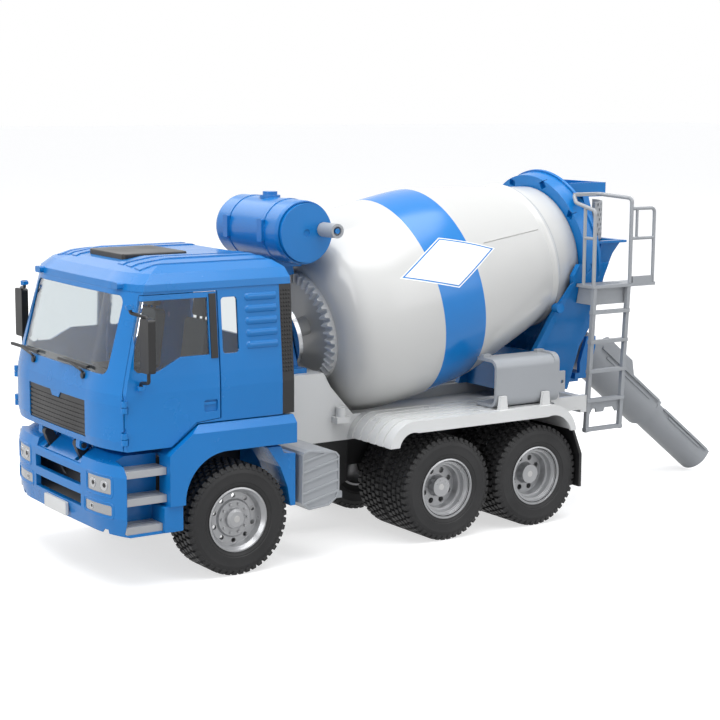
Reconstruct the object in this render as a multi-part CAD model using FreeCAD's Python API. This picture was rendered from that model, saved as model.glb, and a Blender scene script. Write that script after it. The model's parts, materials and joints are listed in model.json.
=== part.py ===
# Toy cement mixer lorry, 1:16.  Millimetres, +X forward, +Y to the left, +Z up.
# Lengths along X are measured from the front axle; every piece is moved by AXLE_TO_MIDDLE when it is
# written, so that the origin lies on the floor under the middle of the lorry.
import FreeCAD, Part
import math
import os

V = FreeCAD.Vector
X, Y, Z = V(1, 0, 0), V(0, 1, 0), V(0, 0, 1)

# ---- driving dimensions -------------------------------------------------------------------------
AXLE_TO_MIDDLE = 180.0      # front axle to the origin
TYRE_R = 33.0               # tyre radius, and the height of the axles
TYRE_WIDTH = 26.0
TYRE_GAP = 2.0              # between the two tyres of a twin wheel
TYRE_OUT = 76.5             # outer sidewall from the middle plane
RIM_R = 19.3
REAR_AXLES = (-150.7, -222.4)
AXLE_R = 2.0
RUNNING_FIT = 0.08          # radial clearance of a shaft in its hole
GAP = 0.4                   # clearance between pieces that move past each other

CAB_W = 75.5                # half width of the cab below the belt line
CAB_WALL = 2.2
CAB_BOTTOM = 80.5
CAB_FLOOR_REAR = 92.5       # the cab steps up here to clear the wheel arch
CAB_STEP = (42.5, 26.5)              # the underside slopes up between these two lengths
CAB_REAR = -30.0
BELT_Z = 112.0
RAIL_Z = 168.5              # drip rail, where the roof panel begins
CAB_HINGE = V(75.4, 0, 77.0)         # the cab tilts forward about this line along Y
HINGE_PIN_R = 1.5
HINGE_LUG_R = 2.8
HINGE_LUG_Y = (24.0, 29.0)          # cab lugs; the chassis ears stand just inside them

DOOR_FRONT, DOOR_REAR = 71.6, 11.6
DOOR_HINGE = V(71.9, 75.2, 0)       # vertical line through the door's two knuckles
DOOR_PIN_R = 0.9
KNUCKLE_R = 1.9
KNUCKLES = (84.5, 102.5)            # height of each hinge; the door's half stands on the cab's half
KNUCKLE_H = 3.2

BUMPER_BOTTOM, BUMPER_TOP = 31.5, 75.5
BUMPER_WALL = 2.4
STEP_X = (46.0, 71.0)
STEP_BACK_Y = 61.5
STEP_TOPS = (37.4, 53.6, 69.4)
TREAD_T = 4.2
BLOCK_X = 48.8                      # front face of the block below the wheel arch
FENDER_Y = 79.5
FENDER_TOP = 91.8
ARCH_R = 44.0

RAIL_IN, RAIL_OUT = 12.0, 18.0      # chassis side rails, distance from the middle plane
RAIL_BOTTOM, RAIL_TOP = 42.0, 62.0
CHASSIS_FRONT, CHASSIS_REAR = 62.0, -286.0

DRUM_PITCH = 12.5                   # drum axis above the horizontal, degrees
DRUM_ORIGIN = V(-152.7, 0, 145.3)   # where the front edge of the painted band crosses the axis
DRUM_WALL = 2.0
MOUTH_R = 42.4
RING_R = 51.0
RING_S = (131.5, 143.5)

TANK_AXIS = V(-67.0, 0, 194.6)
TANK_R = 19.6
TANK_HALF = 40.0
TANK_WALL = 1.6
CRANK_R = 18.0
KNOB_AT = 11.5                      # knob axis from the crank axis
KNOB_R = 4.4
KNOB_L = 16.0
KNOB_PIN_R = 1.6

GEAR_MODULE = 1.7
PINION_TEETH = 8
RING_TEETH = 40
CRANK_TEETH = 16

os.makedirs("parts", exist_ok=True)


# ---- helpers ------------------------------------------------------------------------------------
def box(x0, x1, y0, y1, z0, z1):
    return Part.makeBox(x1 - x0, y1 - y0, z1 - z0, V(x0, y0, z0))


def cyl(r, length, base, axis):
    return Part.makeCylinder(r, length, base, axis)


def tube(r_out, r_in, length, base, axis):
    return cyl(r_out, length, base, axis).cut(cyl(r_in, length, base, axis))


def union(shapes):
    whole = shapes[0]
    if len(shapes) > 1:
        whole = whole.fuse(shapes[1:])
    return whole.removeSplitter()


def plate(points, depth, plane="xz", at=0.0):
    """Polygon of (a, b) points in a plane, extruded by depth from the given offset."""
    if plane == "xz":
        corners = [V(a, at, b) for a, b in points]
        push = V(0, depth, 0)
    elif plane == "yz":
        corners = [V(at, a, b) for a, b in points]
        push = V(depth, 0, 0)
    else:
        corners = [V(a, b, at) for a, b in points]
        push = V(0, 0, depth)
    wire = Part.makePolygon(corners + [corners[0]])
    return Part.Face(wire).extrude(push)


def rounded(x0, x1, y0, y1, z0, z1, r, axis=Z):
    """Box whose four edges along one axis are rounded."""
    solid = box(x0, x1, y0, y1, z0, z1)
    edges = [e for e in solid.Edges if abs(e.tangentAt(e.FirstParameter).dot(axis)) > 0.99]
    return solid.makeFillet(r, edges)


def mirrored(shape):
    return shape.mirror(V(0, 0, 0), Y)


def both(shape):
    return [shape, mirrored(shape)]


def turned(shape, angle, centre, axis):
    copy = shape.copy()
    copy.rotate(centre, axis, angle)
    return copy


def moved(shape, vector):
    copy = shape.copy()
    copy.translate(vector)
    return copy


def put(name, shapes):
    """Write one node: a list of separate solids, moved to the part's own frame."""
    if not isinstance(shapes, (list, tuple)):
        shapes = [shapes]
    solids = []
    for shape in shapes:
        solids += shape.Solids
    solids = [moved(s, V(AXLE_TO_MIDDLE, 0, 0)) for s in solids]
    whole = solids[0] if len(solids) == 1 else Part.makeCompound(solids)
    whole.exportStep("parts/%s.step" % name)


def drum_point(s, r=0.0):
    """Point in the middle plane at distance s along the drum axis (rearward) and r above it."""
    a = math.radians(DRUM_PITCH)
    return DRUM_ORIGIN + V(-math.cos(a), 0, math.sin(a)) * s + V(math.sin(a), 0, math.cos(a)) * r


DRUM_AXIS = drum_point(1) - drum_point(0)
DRUM_UP = drum_point(0, 1) - drum_point(0)


def drum_revolve(profile):
    """Turn a closed list of (s, r) points about the drum axis."""
    corners = [drum_point(s, r) for s, r in profile]
    face = Part.Face(Part.makePolygon(corners + [corners[0]]))
    return face.revolve(DRUM_ORIGIN, DRUM_AXIS, 360)


# ---- wheels and axles ---------------------------------------------------------------------------
def revolve_y(profile, x, z):
    """Turn a closed list of (y, r) points about a line along Y through (x, z)."""
    corners = [V(x, y, z + r) for y, r in profile]
    face = Part.Face(Part.makePolygon(corners + [corners[0]]))
    return face.revolve(V(x, 0, z), Y, 360)


def tyre(x, y_out):
    """Block-tread tyre with three grooves round it, bead on the rim at RIM_R."""
    y_in = y_out - TYRE_WIDTH
    shoulder, groove, depth = 3.0, 1.4, 1.3
    tread = [(y_out - shoulder, TYRE_R)]
    for share in (0.72, 0.5, 0.28):
        y = y_in + TYRE_WIDTH * share
        tread += [(y + groove / 2, TYRE_R), (y + groove / 2, TYRE_R - depth),
                  (y - groove / 2, TYRE_R - depth), (y - groove / 2, TYRE_R)]
    tread += [(y_in + shoulder, TYRE_R)]
    seat = RIM_R - 2.0
    profile = [(y_out - 2.2, seat), (y_out - 1.0, RIM_R), (y_out, RIM_R + 6), (y_out - 0.8, TYRE_R - 2.4)]
    profile += tread
    profile += [(y_in + 0.8, TYRE_R - 2.4), (y_in, RIM_R + 6), (y_in + 1.0, RIM_R), (y_in + 2.2, seat)]
    return revolve_y(profile, x, TYRE_R)


def prism(sides, r, length, base, axis, up):
    """Regular prism: nuts, bolt heads and facetted holes."""
    across = axis.cross(up)
    corners = []
    for i in range(sides):
        a = 2 * math.pi * (i + 0.5) / sides
        corners.append(base + up * (r * math.cos(a)) + across * (r * math.sin(a)))
    return Part.Face(Part.makePolygon(corners + [corners[0]])).extrude(axis * length)


def ring_of(sides, r, y0, y1, x, pitch_r, count, phase=0.0):
    """Prisms along Y set in a ring about a wheel's axis."""
    pieces = []
    for i in range(count):
        a = 2 * math.pi * (i + phase) / count
        radial = V(math.cos(a), 0, math.sin(a))
        pieces.append(prism(sides, r, y1 - y0, V(x, y0, TYRE_R) + radial * pitch_r, Y, radial))
    return pieces


def front_rim(x, y_out):
    """Single front rim: lip, shallow disc with ten holes, raised hub and ten nuts."""
    y_in = y_out - TYRE_WIDTH + 2.2
    seat = RIM_R - 2.0
    profile = [(y_out - 1.0, RIM_R), (y_out - 2.2, seat), (y_in, seat), (y_in, seat - 1.5),
               (y_out - 9.0, seat - 1.5), (y_out - 9.0, AXLE_R), (y_out - 2.5, AXLE_R), (y_out - 2.5, 4.5),
               (y_out - 3.5, 6.0), (y_out - 5.5, 6.4), (y_out - 5.5, 10.5), (y_out - 7.0, 11.5),
               (y_out - 7.0, 15.4), (y_out - 3.0, 16.4), (y_out - 0.6, 18.2)]
    rim = revolve_y(profile, x, TYRE_R)
    rim = rim.cut(ring_of(8, 1.5, y_out - 10, y_out - 4, x, 13.4, 10, 0.5))
    return union([rim] + ring_of(6, 1.0, y_out - 6, y_out - 4.4, x, 8.6, 10))


def rear_rim(x, y_out):
    """Twin rim: one long barrel with a deep dish, eight holes and a flat hub."""
    y_in = y_out - 2 * TYRE_WIDTH - TYRE_GAP
    seat = RIM_R - 2.0
    disc = y_out - 13.0
    profile = [(y_out - 1.0, RIM_R), (y_out - 2.2, seat), (y_in + 2.2, seat), (y_in + 2.2, seat - 1.5),
               (disc - 3.0, seat - 1.5), (disc - 3.0, AXLE_R), (disc + 6.0, AXLE_R), (disc + 6.0, 6.2),
               (disc, 7.0), (disc, 13.2), (disc + 5.0, 13.8), (disc + 5.0, 15.0), (y_out - 4.5, 15.6),
               (y_out - 4.5, 16.8), (y_out - 0.6, 18.2)]
    rim = revolve_y(profile, x, TYRE_R)
    return rim.cut(ring_of(8, 1.9, disc - 4, disc + 2, x, 10.2, 8, 0.5))


def axle(x, half_length):
    return cyl(AXLE_R, 2 * half_length, V(x, -half_length, TYRE_R), Y)


def wheels():
    seat_in = TYRE_OUT - 2.5
    put("front_axle", axle(0.0, seat_in))
    put("front_rims", both(front_rim(0.0, TYRE_OUT)))
    put("front_tyres", both(tyre(0.0, TYRE_OUT)))
    for number, x in enumerate(REAR_AXLES, 1):
        put("rear_axle_%d" % number, axle(x, TYRE_OUT - 7.0))
        put("rear_rims_%d" % number, both(rear_rim(x, TYRE_OUT)))
        twins = [tyre(x, y) for y in (TYRE_OUT, TYRE_OUT - TYRE_WIDTH - TYRE_GAP)]
        put("rear_tyres_%d" % number, both(twins[0]) + both(twins[1]))


# ---- black chassis ------------------------------------------------------------------------------
EAR_T = 4.0
EAR_Y = HINGE_LUG_Y[0] - GAP - EAR_T


def chassis():
    rail = box(CHASSIS_REAR, CHASSIS_FRONT, RAIL_IN, RAIL_OUT, RAIL_BOTTOM, RAIL_TOP)
    parts = both(rail)
    for x in (30.0, -60.0, -115.0, -186.0, CHASSIS_REAR + 4):
        parts.append(box(x - 4, x + 4, -RAIL_IN, RAIL_IN, RAIL_BOTTOM + 2, RAIL_TOP))
    # front plate that carries the bumper unit, and the two ears with the cab's tilt pin
    parts.append(box(CHASSIS_FRONT, CHASSIS_FRONT + 3, -60, 60, 36, RAIL_TOP))
    x, z = CAB_HINGE.x, CAB_HINGE.z
    ear = plate([(CHASSIS_FRONT, 50), (CHASSIS_FRONT, RAIL_TOP), (x - HINGE_LUG_R, z), (x + HINGE_LUG_R, z),
                 (x + 1, z - 5), (CHASSIS_FRONT + 7, 58), (CHASSIS_FRONT + 3, 50)], EAR_T, "xz", EAR_Y)
    parts += both(union([ear, cyl(HINGE_LUG_R, EAR_T, CAB_HINGE + Y * EAR_Y, Y)]))
    parts += both(cyl(HINGE_PIN_R, HINGE_LUG_Y[1] + 1.0 - EAR_Y, CAB_HINGE + Y * EAR_Y, Y))
    # rest under the rear of the cab
    parts.append(box(-28, -20, -RAIL_OUT, RAIL_OUT, RAIL_TOP - 4, CAB_FLOOR_REAR))
    # axle hangers
    for x in (0.0,) + REAR_AXLES:
        hanger = plate([(x - 9, RAIL_BOTTOM), (x - 5, TYRE_R - 5), (x + 5, TYRE_R - 5), (x + 9, RAIL_BOTTOM)],
                       RAIL_OUT - RAIL_IN, "xz", RAIL_IN)
        parts += both(hanger)
    # side panels under the load bed, between the wheels
    panel = plate([(-76, RAIL_TOP), (-108, RAIL_TOP), (-108, 34), (-96, 30), (-76, 36)], 8, "xz", RAIL_OUT)
    parts += both(panel)
    frame = union(parts)
    holes = [cyl(AXLE_R + RUNNING_FIT, 60, V(x, -30, TYRE_R), Y) for x in (0.0,) + REAR_AXLES]
    frame = frame.cut(holes)
    put("chassis_frame", frame)


# ---- lofted body sections -----------------------------------------------------------------------
def body_section(z, front, rear, half):
    """Plan outline at height z: gently bowed front, swept corners, straight sides and back."""
    flat, bend = 0.53 * half, 0.80 * half
    p = [V(front - 0.6, -flat, z), V(front, 0, z), V(front - 0.6, flat, z)]
    left = [V(front - 2.7, bend, z), V(front - 8.2, half, z)]
    edges = [Part.Arc(p[0], p[1], p[2]).toShape(),
             Part.Arc(p[2], left[0], left[1]).toShape(),
             Part.makeLine(left[1], V(rear, half, z)),
             Part.makeLine(V(rear, half, z), V(rear, -half, z)),
             Part.makeLine(V(rear, -half, z), V(left[1].x, -half, z)),
             Part.Arc(V(left[1].x, -half, z), V(left[0].x, -bend, z), p[0]).toShape()]
    return Part.Wire(edges)


def body_loft(levels, inset=0.0, rear_inset=None):
    """Ruled solid through (z, front, rear, half width) levels, drawn in by an inset on all sides."""
    back = inset if rear_inset is None else rear_inset
    wires = [body_section(z, f - inset, r + back, h - inset) for z, f, r, h in levels]
    return Part.makeLoft(wires, True, True)


CAB_LEVELS = [(CAB_BOTTOM, 78.6, CAB_REAR, CAB_W), (86, 79.8, CAB_REAR, CAB_W), (106, 79.8, CAB_REAR, CAB_W),
              (BELT_Z, 79.2, CAB_REAR, CAB_W), (120.5, 77.4, CAB_REAR, 75.0), (RAIL_Z, 65.4, CAB_REAR, 71.0)]
ROOF_LEVELS = [(RAIL_Z, 65.4, -37.5, 71.6), (172.5, 64.6, -37.5, 71.2), (178.0, 58.5, -36.5, 66.5),
               (181.5, 50.0, -33.0, 58.0), (184.0, 36.0, -27.0, 44.0)]
BUMPER_LEVELS = [(BUMPER_BOTTOM, 77.5, STEP_X[0], CAB_W), (42.0, 79.6, STEP_X[0], CAB_W),
                 (65.5, 79.6, STEP_X[0], CAB_W), (71.5, 77.6, STEP_X[0], CAB_W - 0.4),
                 (BUMPER_TOP, 69.6, STEP_X[0], CAB_W - 2.5)]


# ---- lower blue unit ----------------------------------------------------------------------------
def step_openings():
    """Space over each tread, open to the side."""
    x0, x1 = STEP_X[0] - 0.1, STEP_X[1]
    well = box(x0, x1, STEP_BACK_Y, CAB_W + 2, STEP_TOPS[0] - TREAD_T, BUMPER_TOP + 1)
    return both(well)


def bumper_unit():
    shell = body_loft(BUMPER_LEVELS)
    foothold = plate([(90, 67.0), (77.5, 67.0), (68.0, 74.4), (68.0, 80), (90, 80)], 62, "xz", -31)
    under = plate([(90, 64.8), (76.7, 64.8), (67.2, 72.2), (67.2, 80), (90, 80)], 66, "xz", -33)
    cavity = box(STEP_X[0] - 1, 76.0, -60, 60, BUMPER_BOTTOM - 1, BUMPER_TOP - BUMPER_WALL).cut(under)
    shell = shell.cut(cavity.common(body_loft(BUMPER_LEVELS, BUMPER_WALL, -5.0)))
    shell = shell.cut(box(STEP_X[0] - 1, 76.0, -60, 60, BUMPER_BOTTOM - 1, BUMPER_BOTTOM + BUMPER_WALL))
    shell = shell.cut(step_openings() + [foothold])
    # two intake slots and the foot step in the top edge
    for z0, z1 in ((42.5, 49.6), (54.6, 61.9)):
        shell = shell.cut(box(70, 90, -32, 32, z0, z1))
    # slots that the chassis ears pass through
    shell = shell.cut(both(box(66, 77.0, EAR_Y - GAP, EAR_Y + EAR_T + GAP, 62, 80)))
    # lamp pockets
    for window in lamp_windows():
        shell = shell.cut(window)
    # fenders with the wheel arch, beam and lower block
    fenders = both(fender())
    return union([shell] + fenders)


def lamp_windows():
    windows = []
    for y0, y1, z0, z1 in ((41.2, 64.6, 54.8, 64.0), (38.0, 65.0, 42.6, 48.4)):
        outer = rounded(70, 90, y0, y1, z0, z1, 1.2, X)
        windows += both(outer.cut(body_loft(BUMPER_LEVELS, 1.6)))
    return windows


def front_lamps():
    """Head lamps and fog lamps, each a lens block that fills its pocket."""
    lenses = []
    skin = body_loft(BUMPER_LEVELS, 0.3)
    for window in lamp_windows():
        lenses.append(window.common(skin))
    return lenses


def fender():
    x_step = STEP_X[0]
    lip_z = TYRE_R + ARCH_R - 1.5
    outline = [V(x_step, 0, 47.0), V(x_step, 0, 76.0), V(CAB_STEP[0] - 0.5, 0, CAB_BOTTOM - 1.1),
               V(CAB_STEP[1] - 0.9, 0, FENDER_TOP), V(-37.5, 0, FENDER_TOP), V(-37.5, 0, lip_z),
               V(10.0, 0, lip_z)]
    arch_end = V(36.2, 0, 47.0)
    middle = V(31.0, 0, TYRE_R + math.sqrt(ARCH_R ** 2 - 31.0 ** 2))
    edges = [Part.makeLine(a, b) for a, b in zip(outline, outline[1:])]
    edges += [Part.Arc(outline[-1], middle, arch_end).toShape(), Part.makeLine(arch_end, outline[0])]
    face = Part.Face(Part.Wire(edges))
    skirt = moved(face, V(0, 66.0, 0)).extrude(V(0, FENDER_Y - 66.0, 0))
    bevel = plate([(FENDER_Y - 4.5, FENDER_TOP + 0.1), (FENDER_Y + 0.1, FENDER_TOP + 0.1),
                   (FENDER_Y + 0.1, FENDER_TOP - 4.5)], 90, "yz", -40)
    skirt = skirt.cut(bevel)
    liner = box(-37.5, 44.0, RAIL_OUT + 2, 66.2, 73.2, 75.5)
    block = rounded(37.0, BLOCK_X, STEP_BACK_Y, 77.5, 32.0, 47.0, 1.0, Y)
    return union([skirt, liner, block])


def step_treads():
    treads = []
    for x0, top in zip((BLOCK_X, STEP_X[0], STEP_X[0]), STEP_TOPS):
        tread = box(x0 + 0.2, STEP_X[1], STEP_BACK_Y, CAB_W - 0.3, top - TREAD_T, top)
        for y in (64.5, 68.0, 71.5):
            tread = tread.cut(box(x0 + 1.5, STEP_X[1] - 1.2, y, y + 1.2, top - 0.6, top + 1))
        treads += both(tread)
    return treads


def wheelhouses():
    """Wedge behind each front wheel, hung from the chassis by its top plate."""
    edges_at = [(-21, 73), (-30, 73), (-32, 68.6), (-40, 67.8), (-40, 36.3), (-36.6, 36.3), (-34.6, 48),
                (-29.6, 60.5)]
    wedge = plate(edges_at, 25.5, "xz", 48.0)
    shelf = box(-40, -21, RAIL_OUT, 48.2, 70.8, 73).fuse(box(-40, -34, RAIL_OUT, 48.2, 52, 71))
    return both(union([wedge, shelf]))


def lower_front():
    shell = bumper_unit()
    put("bumper_unit", shell)
    put("step_treads", step_treads())
    put("front_lamps", front_lamps())
    put("number_plate", rounded(79.6, 81.4, -15.3, 15.3, 33.4, 41.4, 0.8, X).cut(body_loft(BUMPER_LEVELS)))
    put("wheelhouses", wheelhouses())


# ---- cab ----------------------------------------------------------------------------------------
def door_outline(grow):
    """Door edge in the XZ plane; grow > 0 gives the opening, wider at the rear, where the door swings out."""
    g, rear = grow, DOOR_REAR - 2 * grow
    return [(DOOR_FRONT + g, CAB_BOTTOM - g), (DOOR_FRONT + g, 150.0), (69.2 + g, 166.6 + g),
            (rear, 166.6 + g),
            (rear, CAB_FLOOR_REAR + 2 - g), (CAB_STEP[1] + 0.5, CAB_FLOOR_REAR + 0.6 - g),
            (CAB_STEP[0] + 0.5, CAB_BOTTOM - g)]


def door_prism(grow, y0, y1):
    return plate(door_outline(grow), y1 - y0, "xz", y0)


def door_depth(margin):
    """Space outside a plane that follows the inner face of the cab's side wall."""
    inner = CAB_WALL + margin
    belt = CAB_W - 0.5 - inner
    points = [(CAB_W - inner, CAB_BOTTOM - 5), (CAB_W - inner, BELT_Z), (belt, 120.5), (71.0 - inner, RAIL_Z),
              (90, RAIL_Z), (90, CAB_BOTTOM - 5)]
    return plate(points, 130, "yz", -40)


def door_window(y0, y1, grow=0.0):
    """Side window with a wavy sill: low at the front, stepping up behind the mirror."""
    g = grow
    a, b = V(65.4 + g, y0, 126.5), V(62.5 + g, y0, 163.6 + g)
    c, d = V(17.4 - g, y0, 163.6 + g), V(17.4 - g, y0, 131.2 - g)
    e, f, h = V(36.0, y0, 131.2 - g), V(43.0, y0, 127.6 - g), V(50.0, y0, 124.2 - g)
    k = V(63.0 + g, y0, 124.2 - g)
    edges = [Part.makeLine(a, b), Part.makeLine(b, c), Part.makeLine(c, d), Part.makeLine(d, e),
             Part.makeLine(e, h), Part.makeLine(h, k), Part.makeLine(k, a)]
    return Part.Face(Part.Wire(edges)).extrude(V(0, y1 - y0, 0))


def quarter_window(y0, y1):
    return rounded(-1.8, 8.8, y0, y1, 131.0, 163.0, 2.0, Y)


def screen_opening():
    return rounded(40, 95, -58.8, 58.8, 121.9, 165.8, 5.0, X)


def cab_layer(outer, inner):
    """Skin of the cab's outside form between two depths."""
    return body_loft(CAB_LEVELS, outer).cut(body_loft(CAB_LEVELS, inner))


def cab_solid():
    whole = body_loft(CAB_LEVELS)
    under = plate([(CAB_REAR - 5, 60), (CAB_REAR - 5, CAB_FLOOR_REAR), (CAB_STEP[1], CAB_FLOOR_REAR),
                   (CAB_STEP[0], CAB_BOTTOM), (CAB_STEP[0], 60)], 200, "xz", -100)
    return whole.cut(under)


def cab_cavity():
    levels = [list(level) for level in CAB_LEVELS]
    levels[0][0] = CAB_BOTTOM + CAB_WALL
    inner = body_loft(levels, CAB_WALL)
    floor = plate([(CAB_REAR - 5, 60), (CAB_REAR - 5, CAB_FLOOR_REAR + CAB_WALL),
                   (CAB_STEP[1] + 1, CAB_FLOOR_REAR + CAB_WALL),
                   (CAB_STEP[0] + 1, CAB_BOTTOM + CAB_WALL), (CAB_STEP[0] + 1, 60)], 200, "xz", -100)
    return inner.cut(floor)


GRILLE = (39.2, 84.2, 105.2)
ROOF_RIB = 0.6                      # height of the raised strips on the roof


def grille_outline(grow=0.0):
    half, z0, z1 = GRILLE[0] + grow, GRILLE[1] - grow, GRILLE[2] + grow
    return [(-half, z0), (half, z0), (half, z1), (7, z1), (4.5, z1 - 3.2), (-4.5, z1 - 3.2), (-7, z1),
            (-half, z1)]


def cab():
    outer = cab_solid()
    shell = outer.cut(cab_cavity())
    shell = shell.cut(both(door_prism(GAP, 60, 90).common(door_depth(GAP))))
    for y0, y1 in ((60, 90), (-90, -60)):
        shell = shell.cut(quarter_window(y0, y1))
    shell = shell.cut(screen_opening())
    # grille pocket
    pocket = plate(grille_outline(), 20, "yz", 70).cut(body_loft(CAB_LEVELS, 1.4))
    shell = shell.cut(pocket)
    # rear window
    shell = shell.cut(rounded(CAB_REAR - 5, CAB_REAR + 5, -34, 34, 134, 160, 3.0, X))
    # five raised ribs on each rear quarter
    ribs = []
    for i in range(5):
        z = 162.2 - i * 6.9
        ribs += both(rib(z))
    shell = union([shell] + ribs)
    # lugs under the front edge, which turn on the chassis pin
    y0, y1 = HINGE_LUG_Y
    x, z = CAB_HINGE.x, CAB_HINGE.z
    lug = plate([(x - HINGE_LUG_R, z), (x - HINGE_LUG_R, CAB_BOTTOM + 0.5),
                 (x + HINGE_LUG_R - 0.4, CAB_BOTTOM + 0.5),
                 (x + HINGE_LUG_R, z)], y1 - y0, "xz", y0)
    lug = union([lug, cyl(HINGE_LUG_R, y1 - y0, CAB_HINGE + Y * y0, Y)])
    shell = union([shell] + both(lug))
    shell = shell.cut(cyl(HINGE_PIN_R + RUNNING_FIT, 80, CAB_HINGE - Y * 40, Y))
    # the cab's half of each door hinge, with its pin
    for base in KNUCKLES:
        at = V(DOOR_HINGE.x, DOOR_HINGE.y, base)
        shell = shell.cut(both(cyl(KNUCKLE_R + GAP, KNUCKLE_H + 2 * GAP, at + Z * KNUCKLE_H, Z)))
        shell = shell.fuse(both(cyl(KNUCKLE_R, KNUCKLE_H, at, Z))
                           + both(cyl(DOOR_PIN_R, 2 * KNUCKLE_H + GAP, at, Z)))
    put("cab_shell", shell.removeSplitter())
    roof = body_loft(ROOF_LEVELS)
    attic = [(z - 0.01 if i == 0 else z - 1.6, f, r, h) for i, (z, f, r, h) in enumerate(ROOF_LEVELS)]
    roof = roof.cut(body_loft(attic, 2.4))
    hatch_hole = rounded(4.0, 46.0, -24.0, 24.0, 180.0, 190.0, 3.0, Z)
    roof = roof.cut(hatch_hole)
    raised = body_loft([(z + ROOF_RIB, f, r, h) for z, f, r, h in ROOF_LEVELS]).cut(body_loft(ROOF_LEVELS))
    strips = [box(-30, 52, y, y + 6.5, 175, 195) for y in (28.5, 39.0, 49.5)]
    markers = both(rounded(58.0, 66.4, 49.5, 57.0, 169.2, 173.0, 1.2, X))
    roof = union([roof, raised.common(Part.makeCompound(both(Part.makeCompound(strips))))] + markers)
    put("roof_panel", roof)
    hatch = rounded(4.0, 46.0, -24.0, 24.0, 181.0, 185.4, 3.0, Z)
    put("roof_hatch", hatch.makeFillet(0.8, [e for e in hatch.Edges if e.BoundBox.ZMin > 185.3]))
    mesh = plate(grille_outline(), 20, "yz", 70).common(cab_layer(0.5, 1.4))
    gap_foot = [GRILLE[1] + 1.6 + 2.6 * i for i in range(7)]
    gaps = [box(60, 90, -GRILLE[0] - 1, GRILLE[0] + 1, z, z + 0.9) for z in gap_foot]
    put("grille", mesh.cut(Part.makeCompound(gaps).cut(body_loft(CAB_LEVELS, 1.0))))
    pane = screen_opening().common(cab_layer(0.6, 1.6))
    put("windscreen", pane)
    put("vent_strips", both(vent_strip()))
    put("quarter_windows", both(quarter_window(60, 90).common(cab_layer(0.6, 1.6))))
    interior()


def rib(z):
    """Flattened capsule lying on the cab side."""
    lean = (75.0 - 71.0) / (RAIL_Z - 120.5)
    y = 75.0 - (z - 120.5) * lean
    bar = cyl(2.7, 18.5, V(-27.2, y - 1.5, z), X).fuse(Part.makeSphere(2.7, V(-8.7, y - 1.5, z)))
    return bar.common(box(-40, 20, y - 1.2, y + 5, z - 5, z + 5))


def vent_strip():
    """Tall perforated air duct on the rear corner of the cab."""
    y_low, y_high = CAB_W - 0.2, 71.0
    strip = plate([(60, 92.8), (y_low, 92.8), (y_low, BELT_Z), (y_high, RAIL_Z), (60, RAIL_Z)], 8.0, "yz",
                  CAB_REAR - 8.0)
    return strip


def interior():
    seats = []
    for y in (32.0, -32.0):
        base = rounded(8, 36, y - 14, y + 14, CAB_FLOOR_REAR + CAB_WALL, 112, 3.0, Z)
        back = turned(rounded(2, 9, y - 13, y + 13, 110, 146, 3.0, X), -8, V(6, 0, 110), Y)
        head = turned(rounded(3, 8, y - 7, y + 7, 148, 160, 2.5, X), -8, V(6, 0, 110), Y)
        posts = [turned(cyl(1.0, 4.0, V(5.5, y + d, 145), Z), -8, V(6, 0, 110), Y) for d in (-3.5, 3.5)]
        seats.append(union([base, back, head] + posts))
    put("seats", seats)
    dash = plate([(72.5, 83.0), (72.5, 119.5), (64, 121.5), (54, 118), (52, 108), (60, 100), (60, 83)], 136,
                 "xz", -68)
    dash = dash.common(cab_cavity())
    column_axis = V(-0.80, 0, 0.60)
    column_foot = V(57.0, 32.0, 113.0)
    column = cyl(1.8, 12.0, column_foot, column_axis)
    put("dashboard", dash.cut(cyl(1.8, 12.0, column_foot, column_axis)))
    wheel_centre = column_foot + column_axis * 10.0
    ring = Part.makeTorus(12.0, 1.3, wheel_centre, column_axis)
    spokes = []
    for angle in (0, 120, 240):
        spoke = turned(cyl(1.0, 11.4, wheel_centre, Y), angle, wheel_centre, column_axis)
        spokes.append(spoke)
    put("steering_wheel", union([ring, column, cyl(3.2, 2.4, wheel_centre - column_axis * 1.2, column_axis)]
                                + spokes))


MIRROR_LOW, MIRROR_HIGH = V(62.2, 77.2, 116.0), V(66.8, 73.4, 161.0)    # ends of the line it folds about
MIRROR_AXIS = (MIRROR_HIGH - MIRROR_LOW).normalize()
MIRROR_PIN_R = 1.0


def mirror_sockets():
    """Two small eyes on the door that hold the mirror arm's ends."""
    eyes = []
    for point, inner_y in ((MIRROR_LOW, 74.0), (MIRROR_HIGH, 70.4)):
        eye = cyl(2.2, 2.4, point - MIRROR_AXIS * 1.2, MIRROR_AXIS)
        neck = box(point.x - 1.6, point.x + 1.6, inner_y, point.y, point.z - 1.0, point.z + 1.0)
        eyes.append(eye.fuse(neck))
    return eyes


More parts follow.
